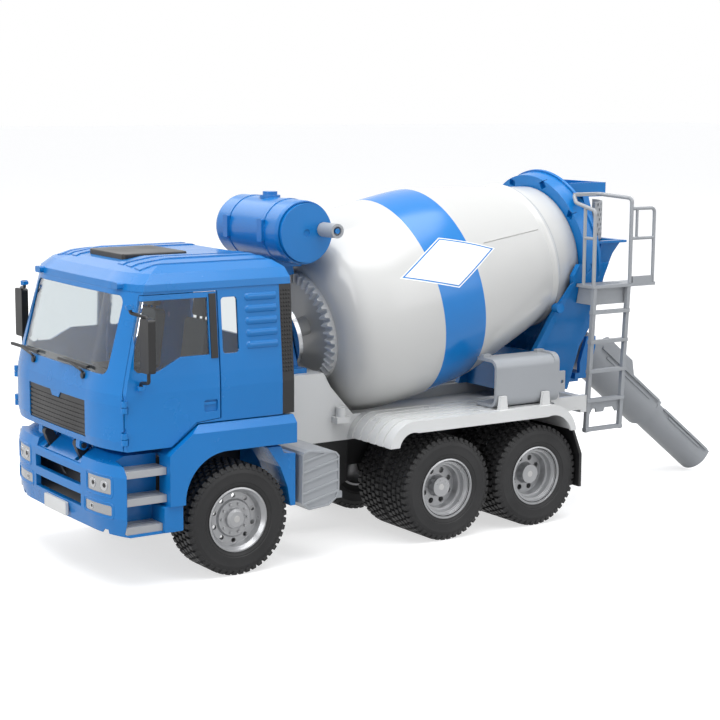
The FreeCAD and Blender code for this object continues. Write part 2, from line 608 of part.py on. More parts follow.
def doors():
    skin = cab_solid().cut(cab_cavity())
    panel = skin.common(door_prism(0.0, 60, 90)).common(door_depth(0.0))
    window = door_window(60, 90)
    panel = panel.cut(window)
    glass = window.common(cab_layer(0.6, 1.6)).common(door_depth(0.0))
    pocket = rounded(13.2, 21.8, 70, 90, 98.6, 105.4, 1.2, Y)
    handle_skin = body_loft(CAB_LEVELS, 1.2)
    panel = panel.cut(pocket.cut(handle_skin))
    handle = box(14.0, 21.8, 73.9, 75.3, 102.6, 104.2)
    trim = box(12.2, 16.6, 60, 90, 129, 165.6).common(cab_layer(-0.5, 0.0))
    panel = union([panel, handle.common(skin.fuse(pocket))])
    for base in KNUCKLES:
        at = V(DOOR_HINGE.x, DOOR_HINGE.y, base)
        panel = panel.cut(cyl(KNUCKLE_R + GAP, KNUCKLE_H + 2 * GAP, at - Z * GAP, Z))
        panel = panel.fuse(cyl(KNUCKLE_R, KNUCKLE_H, at + Z * (KNUCKLE_H + GAP), Z))
        panel = panel.cut(cyl(DOOR_PIN_R + RUNNING_FIT, 3 * KNUCKLE_H, at, Z))
    panel = panel.fuse(mirror_sockets()).removeSplitter()
    panel = panel.cut(cyl(MIRROR_PIN_R + RUNNING_FIT, 80, MIRROR_LOW - MIRROR_AXIS * 10, MIRROR_AXIS))
    for side, shape in (("left", lambda s: s), ("right", mirrored)):
        put("door_" + side, shape(panel))
        put("door_glass_" + side, shape(glass))
        put("door_trim_" + side, shape(trim))


# ---- white subframe and mudguards ---------------------------------------------------------------
SUB_TOP = 78.0


def subframe():
    over_tyres = 2 * TYRE_R + 1.5
    side = plate([(-44, RAIL_TOP), (-44, 106), (-86, 106), (-91, 97), (-108, SUB_TOP), (-282, SUB_TOP),
                  (-282, over_tyres), (-112, over_tyres), (-112, RAIL_TOP)], 4.0, "xz", 28.0)
    cheek_top = box(-86, -44, -28.2, 28.2, 103, 106)
    front = box(-46, -44, -28.2, 28.2, RAIL_TOP, 106)
    deck = box(-282, -46, -28.2, 28.2, over_tyres, over_tyres + 3)
    runners = both(box(-282, -46, RAIL_IN, RAIL_OUT, RAIL_TOP, over_tyres))
    rear = box(-277.4, -272, -60.5, 60.5, over_tyres, SUB_TOP)
    arms = both(box(-277.4, -249, 57.0, 60.5, 69.5, SUB_TOP + 1).fuse(cyl(4.2, 3.5, V(-249, 57.0, 80.5), Y)))
    posts = both(cyl(3.2, 6.0, V(-97, 35.2, 78), Z).fuse(box(-102, -92, 31.9, 38.5, 74.0, 78.0)))
    return union(both(side) + [cheek_top, front, deck, rear] + runners + posts + arms)


GROOVE = 0.7                        # depth of the lengthwise steps in the mudguards
GROOVE_W = 3.4
GROOVES_Y = (37.0, 45.4, 53.8, 62.2, 70.6)


def mudguard():
    """White double mudguard: flat top, drooping ends, turned lip; ribbed front end; two uprights."""
    top, t = 79.5, 2.0
    y0, y1 = 32.0, 80.0
    front_x, rear_x = -104.0, -252.0
    outer = [V(front_x, 0, 64.0), V(front_x - 16, 0, top), V(-232, 0, top), V(rear_x, 0, 61.0)]
    inner = [V(front_x - t, 0, 64.0), V(front_x - 16.5, 0, top - t), V(-231.5, 0, top - t),
             V(rear_x + t, 0, 61.0)]

    def outline(p):
        a = Part.Arc(p[0], V((p[0].x + p[1].x) / 2 + 2.2, 0, (p[0].z + p[1].z) / 2 + 3.0), p[1]).toShape()
        b = Part.makeLine(p[1], p[2])
        c = Part.Arc(p[2], V((p[2].x + p[3].x) / 2 - 3.0, 0, (p[2].z + p[3].z) / 2 + 3.6), p[3]).toShape()
        return [a, b, c]
    edges = outline(outer) + [Part.makeLine(outer[3], inner[3])] + outline(inner) + [Part.makeLine(inner[0],
                                                                                                   outer[0])]
    sheet = Part.Face(Part.Wire(Part.__sortEdges__(edges)))
    guard = moved(sheet, V(0, y0, 0)).extrude(V(0, y1 - y0, 0))
    lip_inner = [V(front_x - 7, 0, 64.0), V(front_x - 21, 0, 72.0), V(-228, 0, 72.0),
                 V(rear_x + 4.5, 0, 61.0)]
    edges = outline(outer) + [Part.makeLine(outer[3], lip_inner[3])] + outline(lip_inner)
    edges += [Part.makeLine(lip_inner[0], outer[0])]
    lip = moved(Part.Face(Part.Wire(Part.__sortEdges__(edges))), V(0, y1 - 1.8, 0)).extrude(V(0, 1.8, 0))
    uprights = [plate([(x - 3.6, top - 1), (x - 2.4, top + 8.6), (x + 2.4, top + 8.6), (x + 3.6, top - 1)],
                      2.4, "xz", 74.5)
                for x in (-193.5, -228.5)]
    floor = [p + V(-GROOVE if i < 2 else GROOVE, 0, -GROOVE) for i, p in enumerate(outer)]
    edges = outline(outer) + [Part.makeLine(outer[3], floor[3])] + outline(floor) + [Part.makeLine(floor[0],
                                                                                                   outer[0])]
    groove = Part.Face(Part.Wire(Part.__sortEdges__(edges)))
    grooves = [moved(groove, V(0, y, 0)).extrude(Y * GROOVE_W) for y in GROOVES_Y]
    return union([guard.cut(grooves), lip] + uprights)


# ---- gears --------------------------------------------------------------------------------------
ADDENDUM, DEDENDUM = 1.1, 1.6
BACKLASH = 0.6
FLANK = math.radians(22)


def tooth_section(x, scale, pitch_v, up, centre_angle=0.0):
    """Trapezoid tooth across X at distance x; sizes follow the cone, so they scale with x."""
    half = (math.pi * GEAR_MODULE / 2 - BACKLASH) / 2
    low, high = -DEDENDUM * 1.12, ADDENDUM
    wide, narrow = half - low * math.tan(FLANK), half - high * math.tan(FLANK)
    points = [(-wide, low), (-narrow, high), (narrow, high), (wide, low)]
    corners = [V(x, t * scale, (pitch_v + up * v) * scale) for t, v in points]
    return Part.makePolygon(corners + [corners[0]])


def crown_gear(teeth, pinion_teeth, r_in, r_out, back):
    """Crown gear about Z with its teeth up; the pinion's axis is the X axis at z = 0."""
    pitch = GEAR_MODULE * teeth / 2
    drop = -GEAR_MODULE * pinion_teeth / 2
    near, far = [tooth_section(r, r / pitch, drop, 1) for r in (r_in, r_out)]
    tooth = Part.makeLoft([near, far], True, True)
    root = [(drop - DEDENDUM) * r / pitch for r in (r_in, r_out)]
    outline = [V(r_in, 0, root[0]), V(r_out, 0, root[1]), V(r_out, 0, back), V(r_in, 0, back)]
    blank = Part.Face(Part.makePolygon(outline + [outline[0]])).revolve(V(0, 0, 0), Z, 360)
    return union([blank] + [turned(tooth, 360.0 * i / teeth, V(0, 0, 0), Z) for i in range(teeth)])


def pinion_gear(teeth, crown_teeth, r_in, r_out):
    """Pinion about X that meshes with the crown gear; one gap points down at the crown."""
    crown_pitch = GEAR_MODULE * crown_teeth / 2
    pitch = GEAR_MODULE * teeth / 2
    near, far = [tooth_section(r, r / crown_pitch, -pitch, -1) for r in (r_in, r_out)]
    tooth = Part.makeLoft([near, far], True, True)
    root = [(pitch - DEDENDUM) * r / crown_pitch for r in (r_in, r_out)]
    outline = [V(r_in, 0, 0), V(r_in, 0, root[0]), V(r_out, 0, root[1]), V(r_out, 0, 0)]
    core = Part.Face(Part.makePolygon(outline + [outline[0]])).revolve(V(0, 0, 0), X, 360)
    return union([core] + [turned(tooth, 360.0 * (i + 0.5) / teeth, V(0, 0, 0), X) for i in range(teeth)])


def place(shape, origin, x_axis, z_axis):
    """Carry a shape from its own frame to the frame given by two of its axes."""
    y_axis = z_axis.cross(x_axis)
    m = FreeCAD.Matrix(x_axis.x, y_axis.x, z_axis.x, origin.x, x_axis.y, y_axis.y, z_axis.y, origin.y,
                       x_axis.z, y_axis.z, z_axis.z, origin.z, 0, 0, 0, 1)
    copy = shape.copy()
    copy.Placement = FreeCAD.Placement(m).multiply(copy.Placement)
    return copy


# The lay shaft crosses the crank axis at the tank and runs down, square to the drum axis.
LAY_S = (TANK_AXIS - DRUM_ORIGIN).dot(DRUM_AXIS)
LAY_TOP_R = (TANK_AXIS - DRUM_ORIGIN).dot(DRUM_UP)
RING_GEAR_R = (30.4, 36.4)
NOSE_S = -62.0                      # front plane of the drum's nose, which carries the crown gear
CRANK_GEAR_R = (10.4, 15.6)
LAY_R = 2.4
HUB_R = 6.0


def drum_gear():
    """Crown teeth round the drum's nose, on a coned flange."""
    teeth = crown_gear(RING_TEETH, PINION_TEETH, RING_GEAR_R[0], RING_GEAR_R[1], LAY_S - NOSE_S)
    return place(teeth, drum_point(LAY_S), DRUM_UP, DRUM_AXIS * -1)


def lay_shaft():
    """Shaft with a pinion at each end: the low one drives the drum, the high one meets the crank gear."""
    low = pinion_gear(PINION_TEETH, RING_TEETH, RING_GEAR_R[0] + 0.4, RING_GEAR_R[1] - 0.2)
    low = place(low, drum_point(LAY_S), DRUM_UP, DRUM_AXIS * -1)
    high = pinion_gear(PINION_TEETH, CRANK_TEETH, CRANK_GEAR_R[0] + 0.3, CRANK_GEAR_R[1] - 0.3)
    high = place(high, TANK_AXIS, DRUM_UP * -1, Y * -1)
    shaft = cyl(LAY_R, LAY_TOP_R - CRANK_GEAR_R[0] - RING_GEAR_R[0] - 1.0,
                drum_point(LAY_S, RING_GEAR_R[0] + 0.5), DRUM_UP)
    return union([shaft, low, high])


def crank():
    """Near end disc of the tank: shaft, crown gear inside, and the pin that carries the knob."""
    disc = cyl(CRANK_R, 3.0, TANK_AXIS + Y * (TANK_HALF - 0.6), Y)
    gear = crown_gear(CRANK_TEETH, PINION_TEETH, CRANK_GEAR_R[0], CRANK_GEAR_R[1], -12.5)
    gear = place(gear, TANK_AXIS, DRUM_UP * -1, Y * -1)
    web = cyl(CRANK_GEAR_R[0] + 1.6, 3.0, TANK_AXIS + Y * 11.0, Y)
    shaft = cyl(3.0, TANK_HALF - 11.5, TANK_AXIS + Y * 11.5, Y)
    pin = cyl(KNOB_PIN_R, KNOB_L + 1.8, TANK_AXIS + V(-KNOB_AT, TANK_HALF + 1, 1.8), Y)
    dimple = cyl(2.2, 0.8, TANK_AXIS + Y * (TANK_HALF + 1.8), Y)
    return union([disc, gear, web, shaft, pin]).cut(dimple)


def crank_knob():
    base = TANK_AXIS + V(-KNOB_AT, TANK_HALF + 2.4 + GAP, 1.8)
    knob = cyl(KNOB_R, KNOB_L, base, Y)
    knob = knob.cut(cyl(KNOB_PIN_R + RUNNING_FIT, KNOB_L, base, Y))
    return knob.cut(cyl(2.8, 2.0, base + Y * (KNOB_L - 2.0), Y))


# ---- pedestal, tank and drum drive --------------------------------------------------------------
def pedestal():
    """Column that stands on the white cheeks, carries the tank and holds the drum's front bearing."""
    top = TANK_AXIS.z - 14
    front_top, front_low = V(-56, 0, top), V(-54, 0, 106)
    rear = [drum_point(LAY_S + 2.8, 47), drum_point(LAY_S + 2.8, 37.6), drum_point(LAY_S - 8.0, 37.6),
            drum_point(LAY_S - 8.0, -22)]
    outline = [(front_low.x, front_low.z), (front_top.x, front_top.z), (-76.0, top)]
    outline += [(p.x, p.z) for p in rear] + [(rear[-1].x, 106)]
    column = plate(outline, 26, "xz", -13)
    saddle = box(-78.0, -55, -18.6, 18.6, TANK_AXIS.z - TANK_R - 3, TANK_AXIS.z - 10)
    foot = box(rear[-1].x + 1, -50, -26, 26, 106, 109)
    webs = both(plate([(-52, 109), (-57, 141), (-70, 141), (rear[-1].x + 1, 109)], 2.6, "xz", 13))
    body = union([column, saddle, foot] + webs)
    body = body.cut(cyl(TANK_R, 2 * TANK_HALF, TANK_AXIS - Y * TANK_HALF, Y))
    body = body.cut(cyl(LAY_R + RUNNING_FIT, 90, drum_point(LAY_S, 20), DRUM_UP))
    body = body.cut(cyl(9.4, 12.0, drum_point(LAY_S, RING_GEAR_R[0] - 1.6), DRUM_UP))
    body = body.cut(cyl(HUB_R + RUNNING_FIT, 30, drum_point(LAY_S - 30), DRUM_AXIS))
    return body


def bearing_flange():
    """Bolted bearing ring on the pedestal, round the drum's front journal."""
    s0 = LAY_S - 8.0
    ring = cyl(22.0, 3.0, drum_point(s0),
               DRUM_AXIS).cut(cyl(HUB_R + RUNNING_FIT, 3.0, drum_point(s0), DRUM_AXIS))
    bolts = []
    for i in range(12):
        a = 2 * math.pi * i / 12
        radial = DRUM_UP * math.cos(a) + Y * math.sin(a)
        bolts.append(prism(6, 1.6, 1.4, drum_point(s0 + 3.0) + radial * 18.4, DRUM_AXIS, radial))
    return union([ring] + bolts)


def water_tank():
    """Hollow tank along Y with rounded shoulders, two straps with buckles and a filler cap."""
    c, n = TANK_AXIS, TANK_HALF
    profile = [(-n, 0), (-n, 14), (-n + 2.5, 18.2), (-n + 6, TANK_R), (n - 3, TANK_R), (n, CRANK_R + 1.2),
               (n, CRANK_R + 0.3), (n - 1.2, CRANK_R + 0.3), (n - 1.2, 3.0 + RUNNING_FIT),
               (n - 3.2, 3.0 + RUNNING_FIT),
               (n - 3.2, TANK_R - TANK_WALL), (-n + 6, TANK_R - TANK_WALL), (-n + 3, 16), (-n + 2, 0)]
    corners = [V(c.x, y, c.z + r) for y, r in profile]
    shell = Part.Face(Part.makePolygon(corners + [corners[0]])).revolve(c, Y, 360)
    straps = []
    for y in (-22.0, 20.0):
        straps.append(tube(TANK_R + 0.4, TANK_R - 0.5, 3.0, V(c.x, y, c.z), Y))
        straps.append(rounded(c.x + TANK_R - 0.6, c.x + TANK_R + 1.6, y - 1.2, y + 4.2, c.z - 6, c.z + 8,
                              0.8, X))
    cap = [cyl(6.5, 2.2, V(c.x, -1, c.z + TANK_R - 1.0), Z), cyl(4.6, 3.4, V(c.x, -1, c.z + TANK_R), Z)]
    tank = union([shell] + straps + cap)
    tank = tank.cut(cyl(LAY_R + 1.0, 40, drum_point(LAY_S, LAY_TOP_R - 40), DRUM_UP))
    return tank


def drum_radius(s):
    """Outer radius of the long cone."""
    return 63.8 - 0.2360 * (s - 43.0)


SEAM_ANGLE = 62.0
BLADE_H = 11.0


def drum_seam():
    """Narrow groove along the long cone, where the drum's two halves meet."""
    s0, s1 = 46.0, 100.0
    low, high = [(s0, drum_radius(s0) - 0.5), (s1, drum_radius(s1) - 0.5)], [(s1, 70.0), (s0, 70.0)]
    corners = [drum_point(s, r) - Y * 0.25 for s, r in low + high]
    return Part.Face(Part.makePolygon(corners + [corners[0]])).extrude(Y * 0.5)


def drum_blade():
    """Spiral mixing blade that stands on the inside of the long cone."""
    s0, s1, turn_by, steps = 46.0, 124.0, 300.0, 10
    wires = []
    for i in range(steps + 1):
        s = s0 + (s1 - s0) * i / steps
        a = math.radians(turn_by * i / steps)
        radial = DRUM_UP * math.cos(a) + Y * math.sin(a)
        foot = drum_radius(s) - DRUM_WALL * 0.4
        corners = [drum_point(s) + radial * foot, drum_point(s + 1.6) + radial * foot,
                   drum_point(s + 1.6) + radial * (foot - BLADE_H), drum_point(s) + radial * (foot - BLADE_H)]
        wires.append(Part.makePolygon(corners + [corners[0]]))
    return Part.makeLoft(wires, True, False)


DRUM_BELLY = [(-62.0, 39.5), (-60.6, 47.0), (-57.8, 52.8), (-53.0, 58.4), (-43.0, 62.8), (-29.0, 65.2),
              (-10.0, 66.2),
              (12.0, 66.4), (30.0, 65.7), (43.0, 63.8)]
BEAD_S, BEAD_R = 107.0, 50.6


def drum_curve(points, inset):
    """Smooth line through (s, r) points of the drum's outline, drawn in by an inset."""
    spline = Part.BSplineCurve()
    spline.interpolate([drum_point(s, r - inset) for s, r in points])
    return spline.toShape()


def drum_lines(points):
    corners = [drum_point(s, r) for s, r in points]
    return [Part.makeLine(a, b) for a, b in zip(corners, corners[1:])]


def drum_shell():
    """Hollow drum: rounded nose, belly, long cone with its bead, and the neck that runs in the rear ring."""
    t = DRUM_WALL
    neck, mouth = RING_S[0] - 1.0, RING_S[1] - 2.0
    nose, shoulder = DRUM_BELLY[0], DRUM_BELLY[-1]
    outline = drum_lines([(nose[0], 0), nose]) + [drum_curve(DRUM_BELLY, 0.0)]
    outline += drum_lines([shoulder, (BEAD_S - 4, drum_radius(BEAD_S - 4)), (BEAD_S - 2, BEAD_R - 0.3),
                           (BEAD_S, BEAD_R),
                           (BEAD_S + 2, BEAD_R - 1.0), (BEAD_S + 4, drum_radius(BEAD_S + 4)),
                           (neck, drum_radius(neck)), (neck, MOUTH_R), (mouth, MOUTH_R), (mouth, 0),
                           (nose[0], 0)])
    outer = Part.Face(Part.Wire(outline)).revolve(DRUM_ORIGIN, DRUM_AXIS, 360)
    within = [(nose[0] + t, nose[1] - 4)] + [(s + 0.9, r - t) for s, r in DRUM_BELLY[2:5]]
    within += [(s, r - t) for s, r in DRUM_BELLY[5:]]
    hollow = drum_lines([(nose[0] + t, 0), within[0]]) + [drum_curve(within, 0.0)]
    hollow += drum_lines([within[-1], (neck - 1, MOUTH_R - t), (mouth + 1, MOUTH_R - t), (mouth + 1, 0),
                          (nose[0] + t, 0)])
    inner = Part.Face(Part.Wire(hollow)).revolve(DRUM_ORIGIN, DRUM_AXIS, 360)
    seams = [turned(drum_seam(), angle, DRUM_ORIGIN, DRUM_AXIS) for angle in (SEAM_ANGLE, SEAM_ANGLE + 180)]
    blades = [turned(drum_blade(), angle, DRUM_ORIGIN, DRUM_AXIS) for angle in (0, 180)]
    journal = cyl(HUB_R, 20.5, drum_point(NOSE_S - 20.0), DRUM_AXIS)
    return union([outer.cut(inner).cut(seams), journal] + blades)


# ---- rear: ring, stand, hopper ------------------------------------------------------------------
def behind(s):
    """Half space on the cab side of the plane at s along the drum axis."""
    slab = Part.makeBox(300, 300, 300, V(-300, -150, -150))
    angle = DRUM_PITCH
    slab = moved(slab, V(300, 0, 0))
    slab.rotate(V(0, 0, 0), Y, angle)
    return moved(slab, drum_point(s))


def rear_ring():
    s0, s1 = RING_S
    ring = tube(RING_R, MOUTH_R + RUNNING_FIT, s1 - s0, drum_point(s0), DRUM_AXIS)
    lip = tube(RING_R + 1.2, RING_R - 3.0, 2.0, drum_point(s1 - 2.0), DRUM_AXIS)
    ring = ring.fuse(lip)
    pockets = []
    for angle in (-58, -20, 20, 58):
        a = math.radians(angle)
        centre = drum_point(s0 - 0.1) + (DRUM_UP * math.cos(a) + Y * math.sin(a)) * 47.6
        pockets.append(turned(place(box(-2.4, 2.4, -2.8, 2.8, -3.6, 0), centre, DRUM_UP, DRUM_AXIS * -1),
                              -angle, centre, DRUM_AXIS))
    return ring.cut(pockets).removeSplitter()


def stand_slab(y_low, thick):
    """Sheet leaning outward as it rises, for one side of the rear stand."""
    lean = 0.22
    z0, z1 = SUB_TOP, 190.0
    return plate([(y_low, z0), (y_low + thick, z0), (y_low + thick + lean * (z1 - z0), z1),
                  (y_low + lean * (z1 - z0), z1)],
                 120, "yz", -330)


def stand_solid():
    """Solid that fills the space between and including the two leaning cheeks."""
    half = 27.5 + 4.3
    top = half + 0.22 * (190.0 - SUB_TOP)
    return plate([(-half, SUB_TOP), (half, SUB_TOP), (top, 190.0), (-top, 190.0)], 120, "yz", -380)


def rear_stand():
    """Tapering stand of two leaning cheeks, cross walls and sloping beams up to the ring."""
    cheek = plate([(-238, SUB_TOP), (-285.5, SUB_TOP), (-289.5, 108.4), (-297.7, 125.4), (-297.0, 142.0),
                   (-303.0, 166.0), (-277.3, 166.0), (-253.0, 112.5)], 100, "xz", 0)
    side = cheek.common(stand_slab(27.5, 3.4))
    flange = plate([(-236, SUB_TOP), (-243, SUB_TOP), (-257.5, 112.5), (-281.5, 166.0), (-276.3, 166.0),
                    (-252.0, 112.5)],
                   100, "xz", 0).common(stand_slab(27.5, 4.3))
    boss = cyl(3.2, 6.0, V(-263.3, 42.0, 137.0), Y)
    inside = plate([(-29, SUB_TOP), (29, SUB_TOP), (45.0, 150), (-45.0, 150)], 120, "yz", -330)
    back = plate([(-282.5, SUB_TOP), (-285.5, SUB_TOP), (-289.5, 108.4), (-297.7, 125.4), (-294.7, 126.6),
                  (-286.6, 109.2)],
                 120, "xz", -60).common(inside)
    front = plate([(-243, SUB_TOP), (-246, SUB_TOP), (-258.0, 106.0), (-255.2, 106.0)], 120, "xz",
                  -60).common(inside)
    body = union(both(side) + both(flange) + both(boss) + [back, front])
    bead_room = cyl(51.6, 24.0, drum_point(96.0), DRUM_AXIS)
    cone = drum_revolve([(60.0, 0), (60.0, drum_radius(60) + 1.2), (RING_S[0], drum_radius(RING_S[0]) + 1.2),
                         (RING_S[0], 0)])
    ring_room = cyl(RING_R, RING_S[1] - RING_S[0], drum_point(RING_S[0]), DRUM_AXIS)
    lip_room = cyl(RING_R + 1.2, 2.0, drum_point(RING_S[1] - 2.0), DRUM_AXIS)
    return body.cut([bead_room, cone, ring_room, lip_room, cyl(40, 60, drum_point(RING_S[1]), DRUM_AXIS)])


def rect_wire(x0, x1, half, z):
    p = [V(x0, -half, z), V(x1, -half, z), V(x1, half, z), V(x0, half, z)]
    return Part.makePolygon(p + [p[0]])


def funnel(levels, wall):
    """Outside and inside of a spout that is open at both ends and toward the drum."""
    outside = Part.makeLoft([rect_wire(rear, front, half, z) for z, rear, front, half in levels], True, True)
    ends = [levels[0][0] - 0.01] + [level[0] for level in levels[1:-1]] + [levels[-1][0] + 0.01]
    inside = Part.makeLoft([rect_wire(rear + wall, front + 30, half - wall, z)
                            for z, (_, rear, front, half) in zip(ends, levels)], True, True)
    return outside, inside


HOPPER_LEVELS = [(124.0, -321.0, -285.0, 14.0), (136.0, -317.5, -285.0, 24.0), (157.0, -312.0, -285.0, 36.0),
                 (171.0, -316.0, -285.0, 39.0), (180.0, -322.0, -285.0, 41.0)]


def hopper():
    """Discharge hopper behind the drum mouth, with its lip, and the inlet tray over it."""
    outer, inner = funnel(HOPPER_LEVELS, 2.0)
    shell = outer.cut(inner)
    lip = box(-325, -285, -43, 43, 178.4, 180.0).cut(box(-320, -270, -39, 39, 170, 190))
    grown, _ = funnel([(z, rear, front, half + 1.3) for z, rear, front, half in HOPPER_LEVELS], 2.0)
    ribs = grown.common(box(-304.5, -302.7, -60, 60, 128, 179)).cut(outer)
    shell = union([shell, lip, ribs])
    shell = shell.cut(behind(RING_S[1]))
    shell = shell.cut(box(-290, -200, -60, 60, 100, 200))
    tray = box(-316, -284, -30, 30, 209.5, 219.0).cut(box(-314, -270, -28, 28, 211.5, 220))
    cheeks = both(plate([(38.0, 178.4), (42.0, 178.4), (30.0, 211.0), (26.5, 211.0)], 5.0, "yz", -300.5))
    tray = tray.fuse(cheeks).cut(behind(RING_S[1]))
    return union([shell, tray])


def feed_plate():
    """Curved perforated guard that stands on the hopper rim beside the inlet."""
    centre = V(-290.0, 0, 180.0)
    wall = tube(37.5, 36.0, 26.0, centre, Z)
    sector = plate([(-290.0, 0), (-340.0, 8.0), (-340.0, 60.0), (-310.0, 60.0)], 40, "xy", 175)
    wall = wall.common(sector)
    holes = []
    for row in range(7):
        for k in range(5):
            a = math.radians(116 + 9.6 * k + (4.8 if row % 2 else 0))
            direction = V(math.cos(a), math.sin(a), 0)
            holes.append(cyl(1.25, 6, V(-290.0, 0, 183.4 + row * 3.4) + direction * 33.5, direction))
    return wall.cut(holes)


def pipe(points, r, bend=3.0):
    """Round bar along a line of points, its corners bent to a radius."""
    edges, start = [], points[0]
    for before, corner, after in zip(points, points[1:], points[2:]):
        u, v = (before - corner).normalize(), (after - corner).normalize()
        half = u.getAngle(v) / 2
        reach = bend / math.tan(half)
        middle = (u + v).normalize() * (bend / math.sin(half) - bend)
        edges.append(Part.makeLine(start, corner + u * reach))
        edges.append(Part.Arc(corner + u * reach, corner + middle, corner + v * reach).toShape())
        start = corner + v * reach
    edges.append(Part.makeLine(start, points[-1]))
    ring = Part.Wire(Part.makeCircle(r, points[0], points[1] - points[0]))
    return Part.Wire(edges).makePipeShell([ring], True, True)


PLATFORM_Z = 153.0
PLATFORM_Y = 65.0
LADDER_X = (-278.9, -308.6)
TUBE_R = 1.3
RUNG_END = 1.5                      # how far a rung stands past the middle of each rail


def platform():
    deck = box(-332, -276.5, 44.0, PLATFORM_Y, PLATFORM_Z - 2.2, PLATFORM_Z)
    slots = [box(x, x + 1.6, 51.0, 62.0, PLATFORM_Z - 3,
                 PLATFORM_Z + 1) for x in [-306 + 3.2 * i for i in range(8)]]
    fascia = box(-309, -279, 42.0, 61.0, 139.5,
                 PLATFORM_Z - 2).cut(box(-307, -281, 40, 59.0, 130, PLATFORM_Z - 2.2))
    curb = box(-328.8, -311.5, PLATFORM_Y - 1.6, PLATFORM_Y, PLATFORM_Z - 1, PLATFORM_Z + 4.5)
    whole = union([deck.cut(slots), fascia, curb])
    return whole.cut(stand_solid()).Solids[0]


def railings():
    """Tubular guard rails round the platform, with a foothold on top."""
    y, top, thin = PLATFORM_Y - TUBE_R, PLATFORM_Z, TUBE_R - 0.15
    xf, xm, xr = -277.9, -309.8, -330.4
    arch = [V(xf, y, top), V(xf, y, 202.5), V(xf, 44.0, 206.8), V(xf - 1.5, 39.5, 212.0),
            V(-298, 44.0, 212.2),
            V(xm, y, 210.0), V(xm, y, top)]
    runs = [pipe(arch, TUBE_R), pipe([V(xm, y, 203), V(xr, y, 203), V(xr, y, top)], thin),
            pipe([V(xm, y, 183), V(xr, y, 183)], thin - 0.1),
            pipe([V(xm - 5, y, 203), V(xm - 5, y, 183)], thin - 0.2),
            pipe([V(xf, 53.6, top), V(xf, 53.6, 205.0)], thin),
            pipe([V(xf, 53.6, 184), V(xf, y, 184)], thin - 0.1)]
    runs.append(box(-298, xf - 1.5, 38.8, 44.4, 211.0, 213.0))
    return union(runs)


def ladder():
    lean = 5.0
    foot_z, head_z = 53.0, PLATFORM_Z - 2.2

    def y_at(z):
        return PLATFORM_Y - 1.6 - lean * (head_z - z) / (head_z - foot_z)
    rails = []
    for x in LADDER_X:
        slab = plate([(y_at(foot_z) - 1.4, foot_z), (y_at(foot_z) + 1.4, foot_z),
                      (y_at(head_z) + 1.4, head_z),
                      (y_at(head_z) - 1.4, head_z)], 2.8, "yz", x - 1.4)
        rails.append(slab)
    rungs = []
    for i in range(5):
        z = 54.7 + 20.0 * i
        rungs.append(box(LADDER_X[1] - RUNG_END, LADDER_X[0] + RUNG_END, y_at(z) - 1.9, y_at(z) + 1.9,
                         z - 1.2, z + 1.2))
    bracket = plate([(LADDER_X[1], 74), (LADDER_X[0], 74), (LADDER_X[0], 65.4), (LADDER_X[0] - 3, 65.4),
                     (LADDER_X[0] - 5, 68.6), (LADDER_X[0] - 8, 68.6), (LADDER_X[0] - 8.6, 66.0),
                     (LADDER_X[0] - 15, 66.0),
                     (LADDER_X[0] - 16, 68.6), (LADDER_X[1] + 6, 68.6), (LADDER_X[1] + 4, 65.4),
                     (LADDER_X[1], 65.4)],
                    1.2, "xz", y_at(70) - 1.6)
    return union(rails + rungs + [bracket])


# ---- chutes -------------------------------------------------------------------------------------
CHUTE_SLOPE = 38.0
CHUTE_PIVOT = V(-316.0, 0, 107.0)
SWIVEL_X = -308.0
UPPER_L, LOWER_L = 84.0, 72.0
UPPER_IN = 14.2
LOWER_OUT = 13.4
CHUTE_T = 2.0
TRUNNION_R = 2.2


def channel(length, r_out, wall, rise, bare):
    """U channel along -X from x = 0, round bottom centred on the X axis; rims start past a bare length."""
    body = tube(r_out, r_out - wall, length, V(-length, 0, 0), X)
    body = body.cut(box(-length - 1, 1, -r_out - 1, r_out + 1, 0, r_out + 1))
    walls = both(box(-length, 0, r_out - wall, r_out, 0, rise))
    rims = both(box(-length + 4, -bare, r_out - 0.1, r_out + 1.6, rise - 1.6, rise))
    ribs = both(box(-length + 12, -bare - 8, r_out - 0.1, r_out + 0.8, 0.2, 1.6))
    return union([body] + walls + rims + ribs)


def sloped(shape, origin):
    """Lower a level chute to its slope about the pivot's axis and move it there."""
    return moved(turned(shape, -CHUTE_SLOPE, V(0, 0, 0), Y), origin)


def fold_pivot():
    a = math.radians(CHUTE_SLOPE)
    return CHUTE_PIVOT + V(-math.cos(a), 0, -math.sin(a)) * UPPER_L


